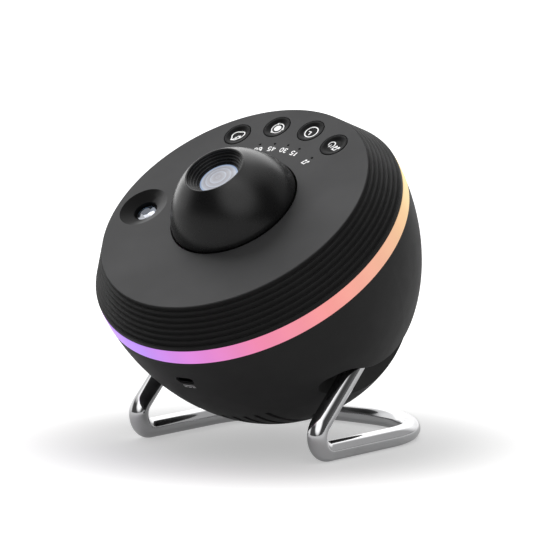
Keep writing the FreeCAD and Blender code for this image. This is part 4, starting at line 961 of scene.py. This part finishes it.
def power_mark(bm, place, lift):
    """Power mark: a broken circle with a bar, and a note beside it."""
    circle = [(x + 2.4, y + 0.4) for x, y in arc((0, 0), 1.95, 120, 420, 26)]
    stroke(bm, placed(circle, place), 0.55, lift)
    stroke(bm, placed([(2.4, 2.7), (2.4, 0.6)], place), 0.55, lift)
    note_mark(bm, lambda x, y: place(x - 2.2, y + 0.2), lift, 1.15)


def note_mark(bm, place, lift, size=1.0):
    """A pair of joined notes."""
    stems = [(-0.7, -1.1), (-0.7, 1.2), (1.1, 1.6), (1.1, -0.7)]
    stroke(bm, [place(x * size, y * size) for x, y in stems], 0.48 * size, lift)
    for x, y in ((-1.15, -1.1), (0.65, -0.7)):
        dot(bm, place(x * size, y * size), 0.62 * size, lift)


MARKS = {"nebula": cloud_mark, "brightness": sun_mark, "timer": clock_mark,
         "power": power_mark}
# Marks and digits are printed at this share of the size they are drawn at.
MARK_SIZE = 0.88
# The hollow's flat middle, as a share of the dish's radius.
FLAT_SHARE = 0.58
CAP_DEPTH = 2.8
# Points across the dish, and those of them on its slope; the rest are on its flat middle.
DISH_POINTS, SLOPE_END, FLAT_POINTS = 24, 12, 5


def turned_place(x, y, degrees, size=1.0):
    """Maps a mark's own coordinates to the plate, scaled and turned about its middle."""
    turn = math.radians(degrees)
    c, s = size * math.cos(turn), size * math.sin(turn)
    return lambda u, v: (x + u * c - v * s, y + u * s + v * c)


class PROJECTOR_OT_buttons(bpy.types.Operator):
    """Four dished button caps with their printed marks"""

    bl_idname = "projector.buttons"
    bl_label = "Buttons"

    def execute(self, context):
        height, = in_mm(context.scene.projector_head, "plate_height")
        cap, dish, depth, circle, mark_lift = in_mm(
            context.scene.projector_buttons, "cap_radius", "dish_radius", "dish_depth",
            "circle", "mark_lift")
        flat = dish * FLAT_SHARE

        def dish_level(reach):
            rise = max(0.0, min(1.0, (reach - flat) / (dish - flat)))
            return height - depth * (1.0 - rise * rise * (3.0 - 2.0 * rise))

        points = [(0.0, height - CAP_DEPTH), (cap, height - CAP_DEPTH), (cap, height),
                  (dish, height)]
        outline = rounded(points, [0.0, 0.3, 0.25, 0.0])
        outline += [(dish * k / DISH_POINTS, dish_level(dish * k / DISH_POINTS))
                    for k in range(DISH_POINTS - 1, SLOPE_END, -1)]
        outline += [(flat * k / FLAT_POINTS, height - depth)
                    for k in range(FLAT_POINTS - 1, -1, -1)]
        for name, angle in BUTTONS.items():
            x, y = on_circle(circle, angle)

            def fill(bm, x=x, y=y):
                lathe(bm, outline, 72, (x, y))

            def lift(px, py, x=x, y=y):
                return dish_level(math.hypot(px - x, py - y)) + mark_lift

            def print_fill(bm, name=name, x=x, y=y, lift=lift):
                MARKS[name](bm, turned_place(x, y, BUTTONS[name] + 90.0, MARK_SIZE), lift)

            node = f"{name}_button"
            add_piece(f"{name}_cap", fill, 60, "button_black", node, [node])
            add_piece(f"{name}_mark", print_fill, None, "print_white", node)
        return {"FINISHED"}


# Each digit is one line in a box from -1 to 1.
DIGITS = {
    "0": [(0.0, 1.0), (0.45, 0.75), (0.6, 0.0), (0.45, -0.75), (0.0, -1.0), (-0.45, -0.75),
          (-0.6, 0.0), (-0.45, 0.75), (0.0, 1.0)],
    "1": [(-0.35, 0.55), (0.1, 1.0), (0.1, -1.0)],
    "3": [(-0.55, 0.75), (-0.2, 1.0), (0.25, 0.95), (0.5, 0.6), (0.35, 0.15), (-0.1, 0.02),
          (0.4, -0.15), (0.6, -0.55), (0.35, -0.92), (-0.1, -1.0), (-0.6, -0.75)],
    "4": [(0.3, -1.0), (0.3, 1.0), (-0.65, -0.4), (0.7, -0.4)],
    "5": [(0.55, 1.0), (-0.5, 1.0), (-0.55, 0.1), (0.1, 0.25), (0.5, -0.05), (0.6, -0.5),
          (0.3, -0.92), (-0.15, -1.0), (-0.6, -0.75)],
    "6": [(0.45, 0.9), (0.0, 1.0), (-0.45, 0.6), (-0.6, -0.3), (-0.4, -0.85), (0.05, -1.0),
          (0.5, -0.75), (0.58, -0.3), (0.3, 0.08), (-0.15, 0.1), (-0.55, -0.2)],
}
TIMES = ("60", "45", "30", "15")
# Half the width and height of a digit, the middles of a number's digits, and the numbers'
# distance inside the indicators.
DIGIT_WIDTH, DIGIT_HEIGHT, DIGIT_SHIFTS, LABEL_INSET = 1.5, 1.45, (-1.35, 1.35), 3.5
PRINT_WIDTH = 0.5
# The direct current mark: starts and ends of its lines and their height.
INLET_LINES = ((-3.2, 3.2, 0.45), (-3.2, -1.5, -0.75), (-0.85, 0.85, -0.75),
               (1.5, 3.2, -0.75))
INLET_MARK_DROP, INLET_LINE_STEPS = 4.2, 6


class PROJECTOR_OT_marks(bpy.types.Operator):
    """Plain numbers and a note beside the indicators, and a direct current mark by the inlet"""

    bl_idname = "projector.marks"
    bl_label = "Printed marks"

    def execute(self, context):
        height, wide, tall, middle = in_mm(context.scene.projector_head, "plate_height",
                                           "shell_radius", "shell_half_height",
                                           "shell_middle")
        circle, mark_lift = in_mm(context.scene.projector_buttons, "indicator_circle",
                                  "mark_lift")

        def lift(x, y):
            return height + mark_lift

        def plate_fill(bm):
            for angle, text in zip(INDICATORS, TIMES):
                x, y = on_circle(circle - LABEL_INSET, angle)
                place = turned_place(x, y, angle + 90.0, MARK_SIZE)
                for digit, shift in zip(text, DIGIT_SHIFTS):
                    line = [(shift + u * DIGIT_WIDTH, v * DIGIT_HEIGHT)
                            for u, v in DIGITS[digit]]
                    stroke(bm, placed(line, place), PRINT_WIDTH, lift)
            x, y = on_circle(circle - LABEL_INSET, INDICATORS[-1])
            note_mark(bm, turned_place(x, y, INDICATORS[-1] + 90.0), lift)

        socket_low, socket_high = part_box("power_socket")
        inlet = HEAD.inverted() @ ((socket_low + socket_high) / 2) / MM

        def shell_front(x, z):
            return -wide * math.sqrt(1 - ((z - middle) / tall)**2 - (x / wide)**2) - mark_lift

        def inlet_fill(bm):
            for start, end, rise in INLET_LINES:
                level = inlet.z - INLET_MARK_DROP + rise
                points = [(start + (end - start) * k / INLET_LINE_STEPS, level)
                          for k in range(INLET_LINE_STEPS + 1)]
                stroke(bm, points, PRINT_WIDTH, lambda x, y: 0.0)
            for vertex in bm.verts:
                x, z = vertex.co.x, vertex.co.y
                vertex.co = (x, shell_front(x, z), z)

        add_piece("plate_marks", plate_fill, None, "print_white", "head")
        add_piece("inlet_mark", inlet_fill, None, "print_white", "head")
        return {"FINISHED"}


# Points along the rod's upright, front bend, rail and rear bend, and round the rod.
UPRIGHT_STEPS, FRONT_STEPS, RAIL_STEPS, REAR_STEPS, ROD_SIDES = 12, 24, 16, 40, 48
HUB_RADIUS, HUB_LENGTH, HUB_ROUNDINGS = 9.0, 10.6, (0.6, 0.9)


class PROJECTOR_OT_stand(bpy.types.Operator):
    """Polished rod with round bends, and its two pivot ends"""

    bl_idname = "projector.stand"
    bl_label = "Stand"

    def execute(self, context):
        sizes = context.scene.projector_stand
        rod, rail_x, rail_end, rear, bend, end_gap = in_mm(
            sizes, "rod_radius", "rail_x", "rail_end", "rear_bend", "front_bend", "rod_end")
        pivot = PIVOT / MM
        lean = sizes.lean
        upward = Vector((0, math.cos(lean), math.sin(lean)))
        pivot_end = Vector((rail_x, pivot.y, pivot.z))
        corner = pivot_end - upward * ((pivot.z - rod) / math.sin(lean))
        cut = bend / math.tan(lean / 2)
        top = pivot_end - upward * end_gap
        start = corner + upward * cut
        half = [top + (start - top) * k / UPRIGHT_STEPS for k in range(UPRIGHT_STEPS + 1)]
        centre = corner + Vector((0, cut, bend))
        for k in range(1, FRONT_STEPS + 1):
            turn = (math.pi - lean) * k / FRONT_STEPS
            half.append(centre + Matrix.Rotation(turn, 3, "X") @ (start - centre))
        last, end = half[-1], Vector((rail_x, SEAM.y / MM + rail_end, rod))
        half += [last + (end - last) * k / RAIL_STEPS for k in range(1, RAIL_STEPS + 1)]
        middle = Vector((rail_x - rear, end.y, end.z))
        for k in range(1, REAR_STEPS + 1):
            turn = math.pi / 2 * k / REAR_STEPS
            half.append(middle + rear * Vector((math.cos(turn), math.sin(turn), 0)))
        path = half + [Vector((-p.x, p.y, p.z)) for p in reversed(half)]

        def rod_fill(bm):
            side = Vector((1, 0, 0))
            rings = []
            for i, point in enumerate(path):
                along = (path[min(i + 1, len(path) - 1)] - path[max(i - 1, 0)]).normalized()
                side = (side - along * side.dot(along)).normalized()
                other = along.cross(side)
                rings.append([bm.verts.new(point + rod * (side * c + other * s))
                              for c, s in circle_points(ROD_SIDES)])
            join_rings(bm, rings)

        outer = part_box("pivot_hubs")[1].x / MM
        inner = outer - HUB_LENGTH
        hub = rounded([(0.0, inner), (HUB_RADIUS, inner), (HUB_RADIUS, outer), (0.0, outer)],
                      [0.0, *HUB_ROUNDINGS, 0.0], 5)

        def hubs_fill(bm):
            for way in (-1, 1):
                for ring in lathe(bm, hub, 72):
                    for vertex in ring:
                        x, y, z = vertex.co
                        vertex.co = (way * z, pivot.y + x, pivot.z + way * y)

        add_piece("polished_rod", rod_fill, None, "chrome", "stand", ["stand_rod"],
                  place=PLAIN)
        add_piece("pivot_ends", hubs_fill, 50, "chrome", "stand", ["pivot_hubs"],
                  place=PLAIN)
        return {"FINISHED"}


# --------------------------------------------------------------------- stage
# Soft bright sides of the studio: direction, cosines where the side starts and is full,
# and brightness.
STUDIO_SIDES = (
    ((-0.05, -0.05, 1.00), 0.60, 0.93, 1.05),
    ((0.51, -0.64, 0.57), 0.78, 0.97, 1.60),
    ((-0.98, -0.00, 0.17), 0.72, 0.97, 1.05),
    ((-0.57, 0.78, 0.24), 0.64, 0.92, 1.15),
    ((-0.44, 0.55, 0.71), 0.78, 0.96, 1.10),
    ((0.38, 0.80, 0.47), 0.74, 0.94, 0.40),
)
# The soft side overhead that lights matte surfaces.
MATTE_SIDE = ((-0.05, -0.05, 1.00), 0.60, 0.93, 0.50)
# Where the key light and the overhead lamp stand, and the lamp's width.
KEY_FROM = Vector((-0.731, 0.218, 0.647))
OVERHEAD_PLACE, OVERHEAD_WIDTH = Vector((-0.1, -0.1, 1.5)), 1.6
# How much of the floor's glow a mirroring surface shows.
MIRRORED_SHARE = 0.35
FLOOR_REACH = 30


def mix(tree, share, first, second):
    """The first value, or the second where share is 1."""
    rest = joined(tree, "SUBTRACT", 1.0, share)
    return joined(tree, "ADD", joined(tree, "MULTIPLY", first, rest),
                  joined(tree, "MULTIPLY", share, second))


def seen_directly(tree, path):
    """1 for what the eye sees directly or through glass, otherwise 0."""
    return joined(tree, "MAXIMUM", path.outputs["Is Camera Ray"],
                  path.outputs["Is Transmission Ray"])


def studio_world(scene, stage):
    """White to the eye; the light on the projector comes from soft bright sides."""
    world = bpy.data.worlds.new("Studio")
    scene.world = world
    world.use_nodes = True
    tree = world.node_tree
    background = next(node for node in tree.nodes if node.type == "BACKGROUND")
    way = coordinates(tree, "Generated")

    def bright_side(direction, start, full, level):
        facing = measured(tree, "DOT_PRODUCT", way, Vector(direction).normalized())
        return spread(tree, facing, start, full, 0.0, level * stage.sides, True)

    mirrored = stage.sky
    for side in STUDIO_SIDES:
        mirrored = joined(tree, "ADD", bright_side(*side), mirrored)
    matte = joined(tree, "ADD", bright_side(*MATTE_SIDE), stage.matte_sky)
    path = tree.nodes.new("ShaderNodeLightPath")
    lit = mix(tree, path.outputs["Is Diffuse Ray"], mirrored, matte)
    feed(tree, background, {"Color": (1, 1, 1, 1),
                            "Strength": mix(tree, seen_directly(tree, path), lit, 1.0)})


def white_floor(scene, stage):
    """Pale floor that keeps the projector's shadow, with a painted shadow from a glow that is lower near the
    projector, and white further off.
    """
    mesh = bpy.data.meshes.new("floor")
    r = FLOOR_REACH
    mesh.from_pydata([(-r, -r, 0), (r, -r, 0), (r, r, 0), (-r, r, 0)], [], [(0, 1, 2, 3)])
    floor = bpy.data.objects.new("floor", mesh)
    scene.collection.objects.link(floor)
    material, tree, shader = node_tree("Floor white")
    # Painted shadow: the glow rises from floor_glow near the projector to floor_white further off, darkening the
    # floor round it beyond its real shadow.
    glow = spread(tree, measured(tree, "LENGTH", coordinates(tree)), stage.shadow_near,
                  stage.shadow_far, stage.floor_glow, stage.floor_white, True)
    path = tree.nodes.new("ShaderNodeLightPath")
    mirrored = joined(tree, "MULTIPLY", path.outputs["Is Glossy Ray"], MIRRORED_SHARE)
    to_eye = joined(tree, "MAXIMUM", seen_directly(tree, path), mirrored)
    feed(tree, shader, {
        "Base Color": ramp(tree, noise(tree, 3.0), [(NOISE_LOW, (0.69, 0.69, 0.69)),
                                                    (NOISE_HIGH, (0.70, 0.70, 0.70))]),
        "Roughness": 0.9,
        "Specular IOR Level": 0.0,
        "Emission Color": (1, 1, 1, 1),
        "Emission Strength": joined(tree, "MULTIPLY", glow, to_eye),
    })
    mesh.materials.append(material)
    return floor


def add_aimed(scene, name, data, back):
    """Lamp or camera with its back turned in a direction."""
    holder = bpy.data.objects.new(name, data)
    scene.collection.objects.link(holder)
    holder.rotation_mode = "QUATERNION"
    holder.rotation_quaternion = (-back).to_track_quat("-Z", "Y")
    return holder


def key_lamp(scene, stage, floor):
    """Wide sun from the upper left that shades the mouldings and leaves the floor alone."""
    lamp = bpy.data.lights.new("Key", "SUN")
    lamp.energy = stage.sun
    lamp.angle = stage.sun_angle
    holder = add_aimed(scene, "Key", lamp, KEY_FROM)
    holder.visible_glossy = False
    if floor:
        left_out = bpy.data.collections.new("Not lit by the key")
        left_out.objects.link(floor)
        holder.light_linking.receiver_collection = left_out
        left_out.collection_objects[0].light_linking.link_state = "EXCLUDE"


def overhead_lamp(scene, stage):
    """Large soft lamp over the projector."""
    lamp = bpy.data.lights.new("Overhead softbox", "AREA")
    lamp.shape = "RECTANGLE"
    lamp.size = lamp.size_y = OVERHEAD_WIDTH
    lamp.energy = stage.key
    add_aimed(scene, "Overhead softbox", lamp, OVERHEAD_PLACE).location = OVERHEAD_PLACE


def studio_camera(scene, stage):
    """Long lens in front of the projector, to its right."""
    camera = bpy.data.cameras.new("Camera")
    camera.lens = stage.lens
    camera.sensor_width = 36.0
    camera.clip_start = 0.05
    camera.clip_end = 100.0
    azimuth, elevation = stage.azimuth, stage.elevation
    back = Vector((math.sin(azimuth) * math.cos(elevation),
                   -math.cos(azimuth) * math.cos(elevation), math.sin(elevation)))
    holder = add_aimed(scene, "Camera", camera, back)
    holder.location = stage.camera_place
    scene.camera = holder


class PROJECTOR_OT_stage(bpy.types.Operator):
    """Pale floor, white surroundings, soft lamps and the camera"""

    bl_idname = "projector.stage"
    bl_label = "Stage"

    def execute(self, context):
        scene, stage = context.scene, context.scene.projector_stage
        scene.view_settings.view_transform = "Standard"
        studio_world(scene, stage)
        floor = white_floor(scene, stage) if stage.show_floor else None
        key_lamp(scene, stage, floor)
        overhead_lamp(scene, stage)
        studio_camera(scene, stage)
        return {"FINISHED"}


# -------------------------------------------------------------------- add-on
class VIEW3D_PT_projector(bpy.types.Panel):
    """Sidebar panel with every step of the dressing"""

    bl_label = "Planetarium projector"
    bl_space_type = "VIEW_3D"
    bl_region_type = "UI"
    bl_category = "Projector"

    def draw(self, context):
        layout = self.layout
        for operator in OPERATORS:
            layout.operator(operator.bl_idname)
        for name in SETTINGS:
            box = layout.box()
            group = getattr(context.scene, name)
            for key in group.bl_rna.properties.keys():
                if key not in ("rna_type", "name"):
                    box.prop(group, key)


OPERATORS = (PROJECTOR_OT_finishes, PROJECTOR_OT_stand, PROJECTOR_OT_light_ring,
             PROJECTOR_OT_top_cover, PROJECTOR_OT_dome, PROJECTOR_OT_lenses,
             PROJECTOR_OT_buttons, PROJECTOR_OT_marks, PROJECTOR_OT_stage)
SETTINGS = {"projector_head": ProjectorHeadSizes, "projector_buttons": ProjectorButtonSizes,
            "projector_stand": ProjectorStandSizes, "projector_finishes": ProjectorFinishes,
            "projector_stage": ProjectorStage}


def register():
    """Add the settings, the operators and the panel."""
    for name, group in SETTINGS.items():
        bpy.utils.register_class(group)
        setattr(bpy.types.Scene, name, PointerProperty(type=group))
    for part in (*OPERATORS, VIEW3D_PT_projector):
        bpy.utils.register_class(part)


def unregister():
    """Remove what register added."""
    for part in (VIEW3D_PT_projector, *reversed(OPERATORS)):
        bpy.utils.unregister_class(part)
    for name, group in SETTINGS.items():
        delattr(bpy.types.Scene, name)
        bpy.utils.unregister_class(group)


def main():
    """Dress the projector."""
    register()
    for operator in OPERATORS:
        group, action = operator.bl_idname.split(".")
        getattr(getattr(bpy.ops, group), action)()


if __name__ == "__main__":
    main()
